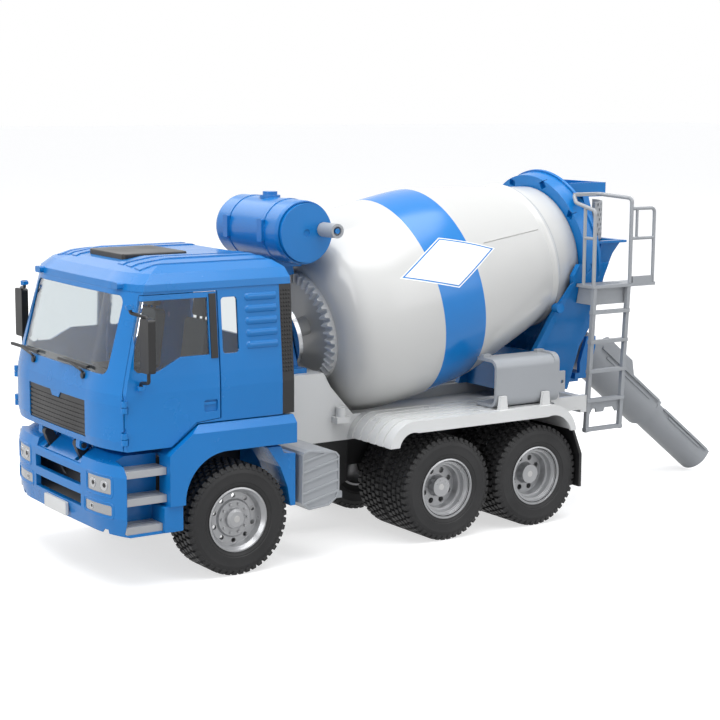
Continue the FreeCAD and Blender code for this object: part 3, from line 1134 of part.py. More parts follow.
def chutes():
    r_out = UPPER_IN + CHUTE_T
    upper = moved(channel(UPPER_L + 4.0 + 4.0, r_out, CHUTE_T, 5.0, 18.0), V(4.0, 0, 0))
    tall = both(plate([(-6, 2), (-14, 13), (-44, 13), (-54, 4), (-54, 2)], CHUTE_T, "xz", UPPER_IN))
    pins = [cyl(TRUNNION_R, 3.4, V(0, y, 0), Y) for y in (r_out - 0.2, -r_out - 3.2)]
    holes = cyl(TRUNNION_R + RUNNING_FIT, 60, V(-UPPER_L, -30, 0), Y)
    put("chute_upper", sloped(union([upper] + tall + pins).cut(holes), CHUTE_PIVOT))
    lower = moved(channel(LOWER_L + 2.5, LOWER_OUT, 1.8, 4.0, 14.0), V(2.5, 0, 0))
    hinge = [cyl(TRUNNION_R, 3.0, V(0, y, 0), Y) for y in (LOWER_OUT - 0.4, -LOWER_OUT - 2.6)]
    put("chute_lower", sloped(union([lower] + hinge), fold_pivot()))
    # swivel fork
    fork_in = r_out + GAP
    x, z = CHUTE_PIVOT.x, CHUTE_PIVOT.z
    ears = []
    for y in (fork_in, -fork_in - 3.0):
        ear = plate([(x - 4, z - 4), (x - 4, z + 4), (x + 4, z + 4), (x + 10, z - 14), (x + 10, z - 22),
                     (x + 2, z - 22)],
                    3.0, "xz", y)
        ears.append(ear.cut(cyl(TRUNNION_R + RUNNING_FIT, 60, V(x, -30, z), Y)))
    base = box(x + 2, x + 14, -fork_in - 3, fork_in + 3, z - 25, z - 21)
    pin = cyl(3.0, 12.0, V(SWIVEL_X, 0, z - 33), Z)
    put("chute_swivel", union(ears + [base, pin]))


def swivel_bracket():
    """Arm on the back of the stand that holds the chute's swivel pin."""
    z = CHUTE_PIVOT.z - 25.4
    arm = box(SWIVEL_X - 6, -283, -9, 9, SUB_TOP, z)
    return arm.cut(cyl(3.0 + RUNNING_FIT, 20, V(SWIVEL_X, 0, z - 12), Z))


def spare_chute():
    """Extension section stowed on its side, floor outward, between the mudguard's uprights."""
    length, half, depth = 48.0, 15.6, 26.0
    x0, y1, z0 = -237.5, 73.9, 79.5 + GAP
    outer = rounded(x0, x0 + length, y1 - depth, y1, z0, z0 + 2 * half, 6.0, X)
    outer = outer.cut(box(x0 - 1, x0 + length + 1, y1 - depth - 1, y1 - depth + 6, z0 - 1, z0 + 2 * half + 1))
    inner = rounded(x0 - 1, x0 + length + 1, y1 - depth - 12, y1 - 2, z0 + 2, z0 + 2 * half - 2, 4.4, X)
    body = outer.cut(inner)
    collar = rounded(x0 - 4, x0, y1 - depth + 2, y1 + 0.0, z0 - 0.0, z0 + 2 * half + 1.0, 6.0, X)
    collar = collar.cut(rounded(x0 - 5, x0 + 1, y1 - depth - 12, y1 - 2, z0 + 2, z0 + 2 * half - 1, 4.4, X))
    collar = collar.cut(box(x0 - 5, x0 + 1, y1 - depth - 1, y1 - depth + 6, z0 - 1, z0 + 2 * half + 2))
    tab = box(x0 - 9, x0 - 3.5, y1 - 2.0, y1, z0 + 6,
              z0 + 20).cut(cyl(1.2, 5, V(x0 - 6.6, y1 - 4, z0 + 13), Y))
    hooks = [box(x0 - 2, x0 + 4, y1 - depth + 9, y1 - depth + 12.5, z0 + 2 * half - 0.1, z0 + 2 * half + 2.0),
             box(x0 + length - 6, x0 + length, y1 - depth + 9, y1 - depth + 12.5, z0 + 2 * half - 0.1,
                 z0 + 2 * half + 2.0)]
    return union([body, collar, tab] + hooks)


# ---- side boxes, flaps, coupling, mirrors, wipers -----------------------------------------------
BOX_OUTLINE = [(-43.6, 66.0), (-44.6, 67.6), (-48.0, 68.5), (-67.4, 66.0), (-69.5, 63.6), (-69.5, 42.0),
               (-67.6, 37.6), (-62.0, 33.6), (-48.2, 32.5), (-43.0, 37.0)]
BOX_OUT = 76.0


def side_box():
    """Tool box slung beside the chassis: five-sided face with a rim and slanting ribs, lug at the rear."""
    solid = plate(BOX_OUTLINE, BOX_OUT - 32.4, "xz", 32.4)
    middle = V(-56.6, 0, 50.6)
    inner = [(middle.x + (x - middle.x) * 0.93, middle.z + (z - middle.z) * 0.94) for x, z in BOX_OUTLINE]
    field = plate(inner, 1.0, "xz", BOX_OUT - 0.7)
    face = solid.cut(field)
    ribs = []
    for i in range(5):
        z = 38.4 + 6.4 * i
        rib = plate([(-42, z - 3.4), (-42, z - 2.0), (-71, z + 5.0), (-71, z + 3.6)], 1.3, "xz",
                    BOX_OUT - 1.3)
        ribs.append(rib.common(solid))
    arm = box(-66, -47, RAIL_OUT, 33.0, 42, 60)
    lug = plate([(-73.4, 36.6), (-73.4, 40.6), (-68.0, 41.4), (-66.0, 36.8)], 12.0, "xz", 61.0)
    return union([face, arm, lug] + ribs)


def mudflap():
    return plate([(-250.2, 61.0), (-252.0, 61.0), (-259.0, 44.0), (-259.0, 22.0), (-256.9, 22.0),
                  (-256.9, 43.6)],
                 45.0, "xz", 33.0)


def tow_coupling():
    body = box(-302, CHASSIS_REAR, -11, 11, 48, 60).cut(box(-303, -294, -12, 12, 51, 57))
    body = body.cut(cyl(2.5, 30, V(-298, 0, 40), Z))
    return body


def mirror():
    """Tubular arm from the front pillar down to the belt line, with the mirror head on it."""
    low, high = MIRROR_LOW + MIRROR_AXIS * 3.0, MIRROR_HIGH - MIRROR_AXIS * 3.0
    arm = pipe([MIRROR_LOW - MIRROR_AXIS * 1.2, low, V(62.5, 87.0, 120.4), V(63.0, 87.0, 156.6), high,
                MIRROR_HIGH + MIRROR_AXIS * 1.2], MIRROR_PIN_R, 1.5)
    head = rounded(60.8, 65.2, 82.0, 92.4, 126.0, 156.0, 1.6, X)
    return union([arm, head])


def wipers():
    """Pair of parked wipers along the foot of the windscreen."""
    parts = []
    for pivot_y in (35.0, -35.0):
        foot = V(77.2, pivot_y, 118.9)
        arm = pipe([foot + V(-1, 0, 0), foot + V(1.6, -1.0, 3.0), foot + V(0.9, -18.0, 5.5)], 0.7, 0.8)
        blade = box(foot.x - 0.4, foot.x + 1.2, pivot_y - 34, pivot_y + 6, foot.z + 4.8, foot.z + 6.4)
        parts.append(union([arm, blade, cyl(1.8, 3.0, foot + V(-1.4, 0, 0), X)]).cut(body_loft(CAB_LEVELS)))
    return parts


def rear():
    put("pedestal", pedestal())
    put("bearing_flange", bearing_flange())
    put("water_tank", water_tank())
    put("crank", crank())
    put("crank_knob", crank_knob())
    put("lay_shaft", lay_shaft())
    put("drum_gear", drum_gear())
    put("drum_shell", drum_shell())
    put("rear_ring", rear_ring())
    put("rear_stand", rear_stand().fuse(swivel_bracket()).removeSplitter())
    put("hopper", hopper())
    put("feed_plate", feed_plate())
    put("platform", platform())
    put("railings", railings())
    put("ladder", ladder())
    chutes()
    put("spare_chute", spare_chute())
    put("tool_box_left", side_box())
    put("tool_box_right", mirrored(side_box()))
    put("mudflaps", both(mudflap()))
    put("tow_coupling", tow_coupling())
    put("mirror_left", mirror())
    put("mirror_right", mirrored(mirror()))
    put("wipers", wipers())


def main():
    wheels()
    chassis()
    lower_front()
    cab()
    doors()
    put("subframe", subframe())
    put("mudguard_left", mudguard())
    put("mudguard_right", mirrored(mudguard()))
    rear()


main()
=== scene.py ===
# Looks of the toy cement mixer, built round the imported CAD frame.
# Metres, +X forward, +Y to the left, +Z up.
import json
import math

import bmesh
import bpy
from mathutils import Matrix, Vector
from mathutils.bvhtree import BVHTree


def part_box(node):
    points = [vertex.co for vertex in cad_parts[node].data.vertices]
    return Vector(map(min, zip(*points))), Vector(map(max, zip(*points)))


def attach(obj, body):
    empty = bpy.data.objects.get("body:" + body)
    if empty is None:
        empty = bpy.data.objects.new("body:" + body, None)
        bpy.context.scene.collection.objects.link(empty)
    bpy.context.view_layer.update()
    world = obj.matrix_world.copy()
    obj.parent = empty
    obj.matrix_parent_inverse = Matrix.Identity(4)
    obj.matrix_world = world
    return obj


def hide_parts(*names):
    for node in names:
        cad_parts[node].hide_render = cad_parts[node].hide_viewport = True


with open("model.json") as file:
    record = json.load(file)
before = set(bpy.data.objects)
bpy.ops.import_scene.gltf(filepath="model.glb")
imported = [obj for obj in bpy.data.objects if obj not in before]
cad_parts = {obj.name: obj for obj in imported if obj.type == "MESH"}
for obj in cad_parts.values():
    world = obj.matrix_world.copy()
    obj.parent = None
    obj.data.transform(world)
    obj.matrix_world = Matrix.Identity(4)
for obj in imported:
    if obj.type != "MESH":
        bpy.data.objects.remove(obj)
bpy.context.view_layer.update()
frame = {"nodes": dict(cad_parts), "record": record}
NODES = frame["nodes"]
MM = 0.001

# The truck's lengths start at its front axle.
AXLE_LOW, AXLE_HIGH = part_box("front_axle")
FRONT_X = (AXLE_LOW[0] + AXLE_HIGH[0]) / 2

# ---- camera, as the picture was taken -------------------------------------------------------------
CAMERA_AT = Vector((FRONT_X + 0.48609, 0.92955, 0.27841))
CAMERA_AZIMUTH, CAMERA_ELEVATION, CAMERA_ROLL = 146.363, 8.737, 0.381
LENS, SENSOR = 86.665, 36.0
SHIFT_X, SHIFT_Y = 0.00375, -0.0011


def make_camera():
    a, e = math.radians(CAMERA_AZIMUTH), math.radians(CAMERA_ELEVATION)
    back = Vector((math.sin(a) * math.cos(e), -math.cos(a) * math.cos(e), math.sin(e)))
    right = Vector((0, 0, 1)).cross(back).normalized()
    up = back.cross(right)
    turn = Matrix((right, up, back)).transposed()
    roll = Matrix.Rotation(math.radians(CAMERA_ROLL), 3, "Z")
    data = bpy.data.cameras.new("camera")
    data.lens, data.sensor_width = LENS, SENSOR
    data.shift_x, data.shift_y = SHIFT_X, SHIFT_Y
    data.clip_start, data.clip_end = 0.05, 50.0
    camera = bpy.data.objects.new("camera", data)
    camera.matrix_world = Matrix.Translation(CAMERA_AT) @ (turn @ roll).to_4x4()
    bpy.context.scene.collection.objects.link(camera)
    bpy.context.scene.camera = camera


# ---- materials ------------------------------------------------------------------------------------
class Mat:
    """Small helper that builds a node material with a Principled shader."""

    def __init__(self, name, color, rough, **sockets):
        self.m = bpy.data.materials.new(name)
        self.m.use_nodes = True
        self.t = self.m.node_tree
        self.p = self.t.nodes["Principled BSDF"]
        self.p.inputs["Base Color"].default_value = (*color, 1.0)
        self.p.inputs["Roughness"].default_value = rough
        for key, value in sockets.items():
            self.p.inputs[key.replace("_", " ")].default_value = value
        self.coord = self.t.nodes.new("ShaderNodeTexCoord")

    def node(self, kind, **values):
        n = self.t.nodes.new(kind)
        for key, value in values.items():
            if key in n.inputs:
                n.inputs[key].default_value = value
            else:
                setattr(n, key, value)
        return n

    def link(self, a, b):
        self.t.links.new(a, b)

    def noise(self, scale, detail=3.0, rough=0.5):
        n = self.node("ShaderNodeTexNoise", Scale=scale, Detail=detail, Roughness=rough)
        self.link(self.coord.outputs["Object"], n.inputs["Vector"])
        return n.outputs["Fac"]

    def ramp(self, source, low, high, to_low, to_high):
        n = self.node("ShaderNodeMapRange")
        n.inputs["From Min"].default_value, n.inputs["From Max"].default_value = low, high
        n.inputs["To Min"].default_value, n.inputs["To Max"].default_value = to_low, to_high
        self.link(source, n.inputs["Value"])
        return n.outputs["Result"]

    def math(self, operation, a, b=None):
        n = self.node("ShaderNodeMath", operation=operation)
        for socket, value in zip(n.inputs, (a, b)):
            if isinstance(value, (int, float)):
                socket.default_value = value
            elif value is not None:
                self.link(value, socket)
        return n.outputs[0]

    def mix(self, fac, a, b):
        n = self.node("ShaderNodeMix", data_type="RGBA")
        self.link(fac, n.inputs["Factor"])
        for socket, value in ((n.inputs[6], a), (n.inputs[7], b)):
            if isinstance(value, tuple):
                socket.default_value = (*value, 1.0)
            else:
                self.link(value, socket)
        return n.outputs[2]

    def bump(self, height, strength, distance, rounding=0.0, bevel_samples=4):
        n = self.node("ShaderNodeBump", Strength=strength, Distance=distance)
        self.link(height, n.inputs["Height"])
        if rounding:
            b = self.node("ShaderNodeBevel", Radius=rounding, samples=bevel_samples)
            self.link(b.outputs["Normal"], n.inputs["Normal"])
        self.link(n.outputs["Normal"], self.p.inputs["Normal"])


def plastic(name, color, rough=0.3, rounding=0.0004, grain=0.02, **sockets):
    """Moulded plastic: slight colour drift, flow marks in the gloss, softly rounded edges."""
    m = Mat(name, color, rough, **sockets)
    drift = m.ramp(m.noise(9.0, 2.0), 0.3, 0.7, 0.0, 1.0)
    darker = tuple(c * 0.90 for c in color)
    lighter = tuple(min(1.0, c * 1.06) for c in color)
    m.link(m.mix(drift, darker, lighter), m.p.inputs["Base Color"])
    m.link(m.ramp(m.noise(38.0, 4.0), 0.3, 0.7, rough * 0.82, rough * 1.2), m.p.inputs["Roughness"])
    m.bump(m.noise(900.0, 2.0), grain, 0.0002, rounding)
    return m


def build_materials():
    mats = {}
    blue = (0.004, 0.168, 0.490)
    mats["blue_plastic"] = plastic("blue_plastic", blue, 0.24, Specular_IOR_Level=0.4)
    mats["blue_tank"] = plastic("blue_tank", blue, 0.22)
    mats["white_plastic"] = plastic("white_plastic", (0.64, 0.645, 0.64), 0.32)
    mats["drum_white"] = drum_material()
    mats["black_chassis"] = plastic("black_chassis", (0.014, 0.014, 0.015), 0.42, grain=0.06)
    mats["black_trim"] = plastic("black_trim", (0.012, 0.012, 0.013), 0.38, grain=0.05)
    mats["grey_plastic"] = plastic("grey_plastic", (0.32, 0.335, 0.355), 0.38, grain=0.05)
    mats["light_grey"] = plastic("light_grey", (0.36, 0.37, 0.385), 0.32, grain=0.05)
    mats["silver_plastic"] = plastic("silver_plastic", (0.60, 0.61, 0.63), 0.22, Metallic=1.0)
    mats["lamp"] = plastic("lamp", (0.44, 0.45, 0.46), 0.16, Metallic=0.75)
    mats["seat_grey"] = plastic("seat_grey", (0.045, 0.046, 0.05), 0.55, grain=0.08)
    mats["axle_steel"] = plastic("axle_steel", (0.55, 0.55, 0.55), 0.3, Metallic=1.0)
    mats["tyre_rubber"] = plastic("tyre_rubber", (0.013, 0.013, 0.014), 0.62, grain=0.2)
    mats["rim_silver"] = plastic("rim_silver", (0.40, 0.405, 0.415), 0.30, grain=0.04, Metallic=0.55)
    mats["clear_window"] = window_material()
    return mats


def window_material():
    m = Mat("clear_window", (0.86, 0.91, 0.93), 0.03, IOR=1.49)
    m.p.inputs["Transmission Weight"].default_value = 1.0
    m.link(m.ramp(m.noise(30.0), 0.3, 0.7, 0.02, 0.05), m.p.inputs["Roughness"])
    return m


DRUM_PITCH = math.radians(12.5)
DRUM_AT = Vector((FRONT_X - 0.1527, 0.0, 0.1453))      # where the band's front edge crosses the drum axis
DRUM_DIR = Vector((-math.cos(DRUM_PITCH), 0.0, math.sin(DRUM_PITCH)))
BAND_WIDTH = 0.0331
# The diamond's middle, in metres past the band's front edge and in degrees round the drum.
DIAMOND_ALONG, DIAMOND_AROUND = 0.0150, 66.5
DIAMOND_HALF_LENGTH, DIAMOND_HALF_TURN = 0.0392, 15.0
BARE_WHITE = (0.86, 0.87, 0.88)


def drum_material():
    """Off-white drum: blue band round it, and a bare white diamond with a thin blue edge on each side."""
    white, band = (0.575, 0.575, 0.563), (0.007, 0.180, 0.53)
    m = Mat("drum_white", white, 0.2)
    up = Vector((math.sin(DRUM_PITCH), 0.0, math.cos(DRUM_PITCH)))

    def dot(direction, offset):
        d = m.node("ShaderNodeVectorMath", operation="DOT_PRODUCT")
        m.link(m.coord.outputs["Object"], d.inputs[0])
        d.inputs[1].default_value = direction
        return m.math("SUBTRACT", d.outputs["Value"], offset)
    along = dot(DRUM_DIR, DRUM_AT.dot(DRUM_DIR))
    height = dot(up, DRUM_AT.dot(up))
    side = m.math("ABSOLUTE", dot(Vector((0, 1, 0)), 0.0))
    front = m.ramp(along, -0.0001, 0.0001, 0.0, 1.0)
    rear = m.ramp(along, BAND_WIDTH - 0.0001, BAND_WIDTH + 0.0001, 1.0, 0.0)
    inside = m.math("MULTIPLY", front, rear)
    past = m.math("SUBTRACT", along, DIAMOND_ALONG)
    around = m.math("SUBTRACT", m.math("ARCTAN2", side, height), math.radians(DIAMOND_AROUND))
    reach = m.math("ADD", m.math("ABSOLUTE", m.math("DIVIDE", past, DIAMOND_HALF_LENGTH)),
                   m.math("ABSOLUTE", m.math("DIVIDE", around, math.radians(DIAMOND_HALF_TURN))))
    field = m.ramp(reach, 0.90, 0.905, 1.0, 0.0)
    edge = m.math("SUBTRACT", m.ramp(reach, 0.955, 0.96, 1.0, 0.0), field)
    rim = m.ramp(reach, 0.995, 1.0, 1.0, 0.0)
    drift = m.ramp(m.noise(9.0, 2.0), 0.3, 0.7, 0.0, 1.0)
    base = m.mix(drift, tuple(c * 0.96 for c in white), tuple(min(1, c * 1.03) for c in white))
    base = m.mix(inside, base, band)
    base = m.mix(rim, base, BARE_WHITE)
    base = m.mix(edge, base, band)
    m.link(base, m.p.inputs["Base Color"])
    m.link(m.ramp(m.noise(38.0, 4.0), 0.3, 0.7, 0.16, 0.23), m.p.inputs["Roughness"])
    m.bump(m.noise(900.0, 2.0), 0.01, 0.0002, 0.0004)
    return m


def dress_cad(mats):
    """Every CAD node that stays gets the finish of its own slot."""
    slots = {s["node"]: s["material_slot"] for s in frame["record"]["subparts"]}
    for rims in ("front_rims", "rear_rims_1", "rear_rims_2"):
        slots[rims] = "rim_silver"
    for name, obj in NODES.items():
        obj.data.materials.clear()
        obj.data.materials.append(mats[slots[name]].m)


# ---- piece building -------------------------------------------------------------------------------
class Shape:
    """Collects points and faces in millimetres; make() turns them into a piece that rides on a body."""

    def __init__(self):
        self.points, self.faces = [], []

    def add(self, points, faces):
        start = len(self.points)
        self.points += [Vector(p) for p in points]
        self.faces += [tuple(start + i for i in face) for face in faces]

    def block(self, centre, u, v, n, low, high, depth):
        """Tapered block: its foot is low wide, its top high wide, depth above the centre along n."""
        centre, u, v, n = Vector(centre), Vector(u), Vector(v), Vector(n)
        points = []
        for (a, b), z in ((low, 0.0), (high, depth)):
            for s, t in ((-1, -1), (1, -1), (1, 1), (-1, 1)):
                points.append(centre + u * (a * s) + v * (b * t) + n * z)
        self.add(points, [(4, 5, 6, 7), (0, 1, 5, 4), (1, 2, 6, 5), (2, 3, 7, 6), (3, 0, 4, 7),
                          (3, 2, 1, 0)])

    def revolve(self, profile, steps, point):
        """Closed ring: point(a, r, angle) places each (a, r) of the profile."""
        start = len(self.points)
        count = len(profile)
        for i in range(steps):
            angle = 2 * math.pi * i / steps
            self.points += [point(a, r, angle) for a, r in profile]
        for i in range(steps):
            here, there = start + i * count, start + (i + 1) % steps * count
            for k in range(count):
                n = (k + 1) % count
                self.faces.append((here + k, here + n, there + n, there + k))

    def make(self, name, body, slot, replaces=(), smooth=30.0):
        mesh = bpy.data.meshes.new(name)
        mesh.from_pydata([p * MM for p in self.points], [], self.faces)
        mesh.validate()
        mesh.update()
        bm = bmesh.new()
        bm.from_mesh(mesh)
        bmesh.ops.recalc_face_normals(bm, faces=bm.faces)
        bm.to_mesh(mesh)
        bm.free()
        piece = bpy.data.objects.new(name, mesh)
        bpy.context.scene.collection.objects.link(piece)
        mesh.shade_smooth()
        mesh.set_sharp_from_angle(angle=math.radians(smooth))
        mesh.materials.append(materials[slot].m)
        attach(piece, body)
        if replaces:
            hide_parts(*replaces)
        return piece


# ---- tyres ----------------------------------------------------------------------------------------
TYRE_R, TYRE_WIDTH, TYRE_OUT, TWIN_STEP = 33.0, 26.0, 76.5, 28.0
TREAD_DEPTH = 1.5
BLOCKS = 46                                             # tread blocks in one turn
BLOCK_ROWS = ((-9.6, 2.0), (-4.9, 1.7), (0.0, 1.75), (4.9, 1.7), (9.6, 2.0))   # place across, half width
SIDEWALL = [(11.2, 17.4), (11.6, 19.3), (12.1, 20.3), (12.6, 21.4), (12.5, 21.9), (12.95, 22.4), (13.0, 25.2),
            (12.85, 27.4), (12.95, 27.7), (12.75, 28.2), (12.4, 30.0), (11.2, TYRE_R - TREAD_DEPTH),
            (5.0, TYRE_R - TREAD_DEPTH + 0.15)]


def turn_of(step):
    """Angle of a tread block, with the directions outward and round the tyre there."""
    angle = 2 * math.pi * step / BLOCKS
    return (angle, Vector((math.cos(angle), 0, math.sin(angle))),
            Vector((-math.sin(angle), 0, math.cos(angle))))


def tyre(shape, x, y_mid):
    """Rounded tyre with five rows of tread blocks, the outer rows reaching over the shoulders."""
    def at(a, r, angle):
        return Vector((x + r * math.cos(angle), y_mid + a, TYRE_R + r * math.sin(angle)))
    profile = SIDEWALL + [(-a, r) for a, r in reversed(SIDEWALL)]
    shape.revolve(profile, 144, at)
    base = TYRE_R - TREAD_DEPTH - 0.1
    for row, (a, half) in enumerate(BLOCK_ROWS):
        for i in range(BLOCKS):
            angle, radial, tangent = turn_of(i + 0.5 * (row % 2))
            centre = at(a, base, angle)
            shape.block(centre, (0, 1, 0), tangent, radial,
                        (half, 1.65), (half - 0.25, 1.35), TYRE_R - base)
    for side in (-1, 1):
        for i in range(BLOCKS):
            angle, radial, tangent = turn_of(i)
            lean = (Vector((0, side * 0.86, 0)) + radial * 0.5).normalized()
            along = tangent.cross(lean)
            shape.block(at(side * 11.35, 30.6, angle), along, tangent, lean, (1.35, 1.5), (1.0, 1.2), 1.0)


def tyres():
    """Every tyre of the frame gives way to one with tread blocks, in the same place."""
    outer = TYRE_OUT - TYRE_WIDTH / 2
    rows = {"front_tyres": ("front_wheels", (outer,)),
            "rear_tyres_1": ("rear_wheels_1", (outer, outer - TWIN_STEP)),
            "rear_tyres_2": ("rear_wheels_2", (outer, outer - TWIN_STEP))}
    for node, (body, places) in rows.items():
        low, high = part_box(node)
        x = (low[0] + high[0]) / 2 / MM
        shape = Shape()
        for y in places:
            tyre(shape, x, y)
            tyre(shape, x, -y)
        shape.make(node + "_tread", body, "tyre_rubber", (node,))


# ---- fittings that lie on a skin of the frame -----------------------------------------------------
def skin(node):
    """Returns touch(origin, direction), in millimetres: point and normal where a ray meets the node."""
    mesh = NODES[node].data
    corners = [v.co / MM for v in mesh.vertices]
    tree = BVHTree.FromPolygons(corners, [tuple(p.vertices) for p in mesh.polygons])

    def touch(origin, direction):
        point, normal, _, _ = tree.ray_cast(Vector(origin), Vector(direction))
        return point, normal
    return touch


def ring(shape, centre, normal, profile, steps=28):
    """Lathe: closed profile of (height above the skin, radius) about the normal."""
    n = normal.normalized()
    u = n.orthogonal().normalized()
    v = n.cross(u)
    shape.revolve(profile, steps,
                  lambda a, r, angle: centre + n * a + (u * math.cos(angle) + v * math.sin(angle)) * r)


VENT_PITCH_X, VENT_PITCH_Z, VENT_COLUMNS = 1.75, 2.35, 4
VENT_TOP_MARGIN, VENT_PLAIN_SHARE = 3.5, 0.30           # the lowest share of each strip stays plain


def vent_bumps():
    """Rows of small raised pyramids on the upper part of both vent strips."""
    low, high = (Vector(p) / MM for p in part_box("vent_strips"))
    touch = skin("vent_strips")
    shape = Shape()
    along = Vector((1, 0, 0))
    top = high.z - VENT_TOP_MARGIN
    bottom = low.z + VENT_PLAIN_SHARE * (high.z - low.z)
    middle = (low.x + high.x) / 2
    for side in (-1, 1):
        for row in range(int((top - bottom) / VENT_PITCH_Z)):
            z = top - row * VENT_PITCH_Z
            for k in range(VENT_COLUMNS):
                x = middle + (k - (VENT_COLUMNS - 1) / 2) * VENT_PITCH_X
                point, normal = touch((x, side * 200, z), (0, -side, 0))
                if point is None:
                    continue
                shape.block(point - normal * 0.1, along, normal.cross(along), normal,
                            (0.62, 0.8), (0.22, 0.3), 0.65)
    shape.make("vent_bumps", "cab", "black_trim")


# Each lamp: middle across, middle up, width, height, and (offset across, bowl radius) of each bulb.
LAMPS = {"head": (52.9, 59.4, 23.4, 9.2, ((-5.6, 3.0), (5.6, 3.0))),
         "fog": (51.5, 45.5, 27.0, 5.8, ((-6.0, 1.9),))}
BULB_SHARE = 0.42                                       # of the bowl's radius
BEAD_MARGIN = 1.5


def lamps():
    """Reflector bowls and bulbs on the lamp glass, and a raised bead on the bumper round each lamp."""
    glass, bumper = skin("front_lamps"), skin("bumper_unit")
    bowls, bulbs, beads = Shape(), Shape(), Shape()
    front = (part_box("bumper_unit")[1][0] / MM) + 50
    for side in (-1, 1):
        for across, height, width, tall, places in LAMPS.values():
            for offset, radius in places:
                point, normal = glass((front, side * (across + offset), height), (-1, 0, 0))
                bulb = radius * BULB_SHARE
                ring(bowls, point, normal, [(-0.3, radius), (0.28, radius), (0.28, radius - 0.35),
                                            (0.06, radius - 0.9), (0.02, bulb), (-0.3, bulb)])
                ring(bulbs, point, normal, [(-0.3, 0.02), (-0.3, bulb), (0.14, bulb),
                                            (0.26, radius * 0.28), (0.26, 0.02)])
            bead(beads, bumper, (front, side * across, height),
                 width / 2 + BEAD_MARGIN, tall / 2 + BEAD_MARGIN)
    bowls.make("lamp_bowls", "chassis", "silver_plastic")
    bulbs.make("lamp_bulbs", "chassis", "black_trim")
    beads.make("lamp_beads", "chassis", "blue_plastic", smooth=50.0)


def bead(shape, touch, middle, half_y, half_z, corner=2.2, size=0.42):
    """Half-round bead along a rounded rectangle, laid on the skin seen from middle, in front of it."""
    path = []
    for cy, cz, start in ((1, 1, 0), (-1, 1, 90), (-1, -1, 180), (1, -1, 270)):
        for step in range(7):
            a = math.radians(start + 15 * step)
            path.append((cy * (half_y - corner) + corner * math.cos(a),
                         cz * (half_z - corner) + corner * math.sin(a)))
    fine = []
    for (y0, z0), (y1, z1) in zip(path, path[1:] + path[:1]):
        parts = max(1, int(math.hypot(y1 - y0, z1 - z0) / 1.5))
        fine += [(y0 + (y1 - y0) * k / parts, z0 + (z1 - z0) * k / parts) for k in range(parts)]
    hits = [touch(Vector(middle) + Vector((0, y, z)), (-1, 0, 0)) for y, z in fine]
    if any(point is None for point, _ in hits):
        return
    start, count = len(shape.points), len(hits)
    for i, (point, normal) in enumerate(hits):
        tangent = (hits[(i + 1) % count][0] - hits[i - 1][0]).normalized()
        out = tangent.cross(normal).normalized()
        for k in range(5):
            a = math.pi * k / 4
            rise = size * math.sin(a) - 0.08
            shape.points.append(point + out * (size * 1.4 * math.cos(a)) + normal * rise)
    for i in range(count):
        here, there = start + 5 * i, start + 5 * ((i + 1) % count)
        for k in range(5):
            n = (k + 1) % 5
            shape.faces.append((here + k, here + n, there + n, there + k))


# ---- floor and light ------------------------------------------------------------------------------
FLOOR_HALF = 12.0
FLOOR_LIFT = 0.62                   # the camera sees the floor this much lighter, so it fades to white
LIGHTS = (                          # name, place, aim, size in metres, watts
    ("top", (0.1, 0.3, 1.9), (0, 0, 0.08), 1.8, 42.0),
    ("key", (1.9, 0.5, 0.8), (0, 0, 0.08), 1.2, 15.0),
    ("fill", (-1.0, 1.8, 0.9), (-0.05, 0, 0.10), 1.3, 8.0),
    ("rim", (0.3, -1.8, 1.5), (0, 0, 0.10), 1.4, 8.0))


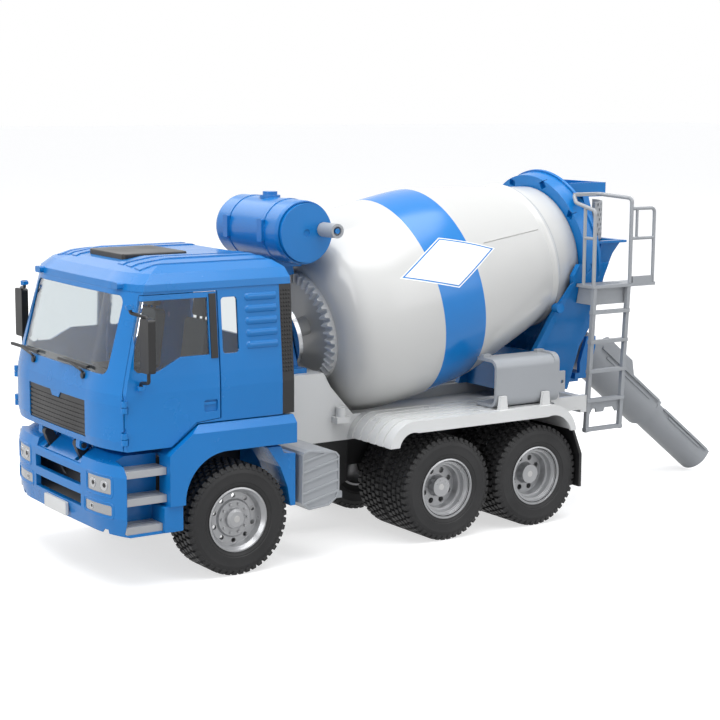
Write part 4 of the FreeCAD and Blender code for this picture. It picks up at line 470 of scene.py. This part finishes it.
def studio():
    scene = bpy.context.scene
    scene.view_settings.view_transform = "Standard"
    mesh = bpy.data.meshes.new("floor")
    r = FLOOR_HALF
    mesh.from_pydata([(-r, -r, 0), (r, -r, 0), (r, r, 0), (-r, r, 0)], [], [(0, 1, 2, 3)])
    floor = bpy.data.objects.new("floor", mesh)
    floor.location.z = -0.0002
    scene.collection.objects.link(floor)
    m = Mat("floor_paint", (0.50, 0.50, 0.50), 0.7)
    path = m.node("ShaderNodeLightPath")
    seen = m.math("MAXIMUM", path.outputs["Is Glossy Ray"], path.outputs["Is Transmission Ray"])
    white = m.node("ShaderNodeEmission")
    white.inputs["Color"].default_value = (1, 1, 1, 1)
    white.inputs["Strength"].default_value = 0.9
    lift = m.node("ShaderNodeEmission")
    lift.inputs["Color"].default_value = (1, 1, 1, 1)
    m.link(m.math("MULTIPLY", path.outputs["Is Camera Ray"], FLOOR_LIFT), lift.inputs["Strength"])
    lifted = m.node("ShaderNodeAddShader")
    m.link(m.p.outputs[0], lifted.inputs[0])
    m.link(lift.outputs[0], lifted.inputs[1])
    mixed = m.node("ShaderNodeMixShader")
    m.link(seen, mixed.inputs[0])
    m.link(lifted.outputs[0], mixed.inputs[1])
    m.link(white.outputs[0], mixed.inputs[2])
    m.link(mixed.outputs[0], m.t.nodes["Material Output"].inputs["Surface"])
    floor.data.materials.append(m.m)

    world = bpy.data.worlds.new("studio")
    scene.world = world
    world.use_nodes = True
    t = world.node_tree
    plain = t.nodes["Background"]
    plain.inputs["Color"].default_value = (0.92, 0.95, 1.0, 1.0)
    plain.inputs["Strength"].default_value = 0.55
    white = t.nodes.new("ShaderNodeBackground")
    white.inputs["Color"].default_value = (1, 1, 1, 1)
    white.inputs["Strength"].default_value = 1.0
    path = t.nodes.new("ShaderNodeLightPath")
    seen = path.outputs["Is Camera Ray"]
    for other in ("Is Transmission Ray", "Is Glossy Ray"):
        either = t.nodes.new("ShaderNodeMath")
        either.operation = "MAXIMUM"
        t.links.new(seen, either.inputs[0])
        t.links.new(path.outputs[other], either.inputs[1])
        seen = either.outputs[0]
    mix = t.nodes.new("ShaderNodeMixShader")
    t.links.new(seen, mix.inputs[0])
    t.links.new(plain.outputs[0], mix.inputs[1])
    t.links.new(white.outputs[0], mix.inputs[2])
    t.links.new(mix.outputs[0], t.nodes["World Output"].inputs["Surface"])

    for name, at, target, size, watts in LIGHTS:
        data = bpy.data.lights.new(name, "AREA")
        data.shape, data.size, data.energy = "SQUARE", size, watts
        lamp = bpy.data.objects.new(name, data)
        lamp.location = at
        lamp.rotation_euler = (Vector(target) - Vector(at)).to_track_quat("-Z", "Y").to_euler()
        scene.collection.objects.link(lamp)


make_camera()
materials = build_materials()
dress_cad(materials)
tyres()
vent_bumps()
lamps()
studio()
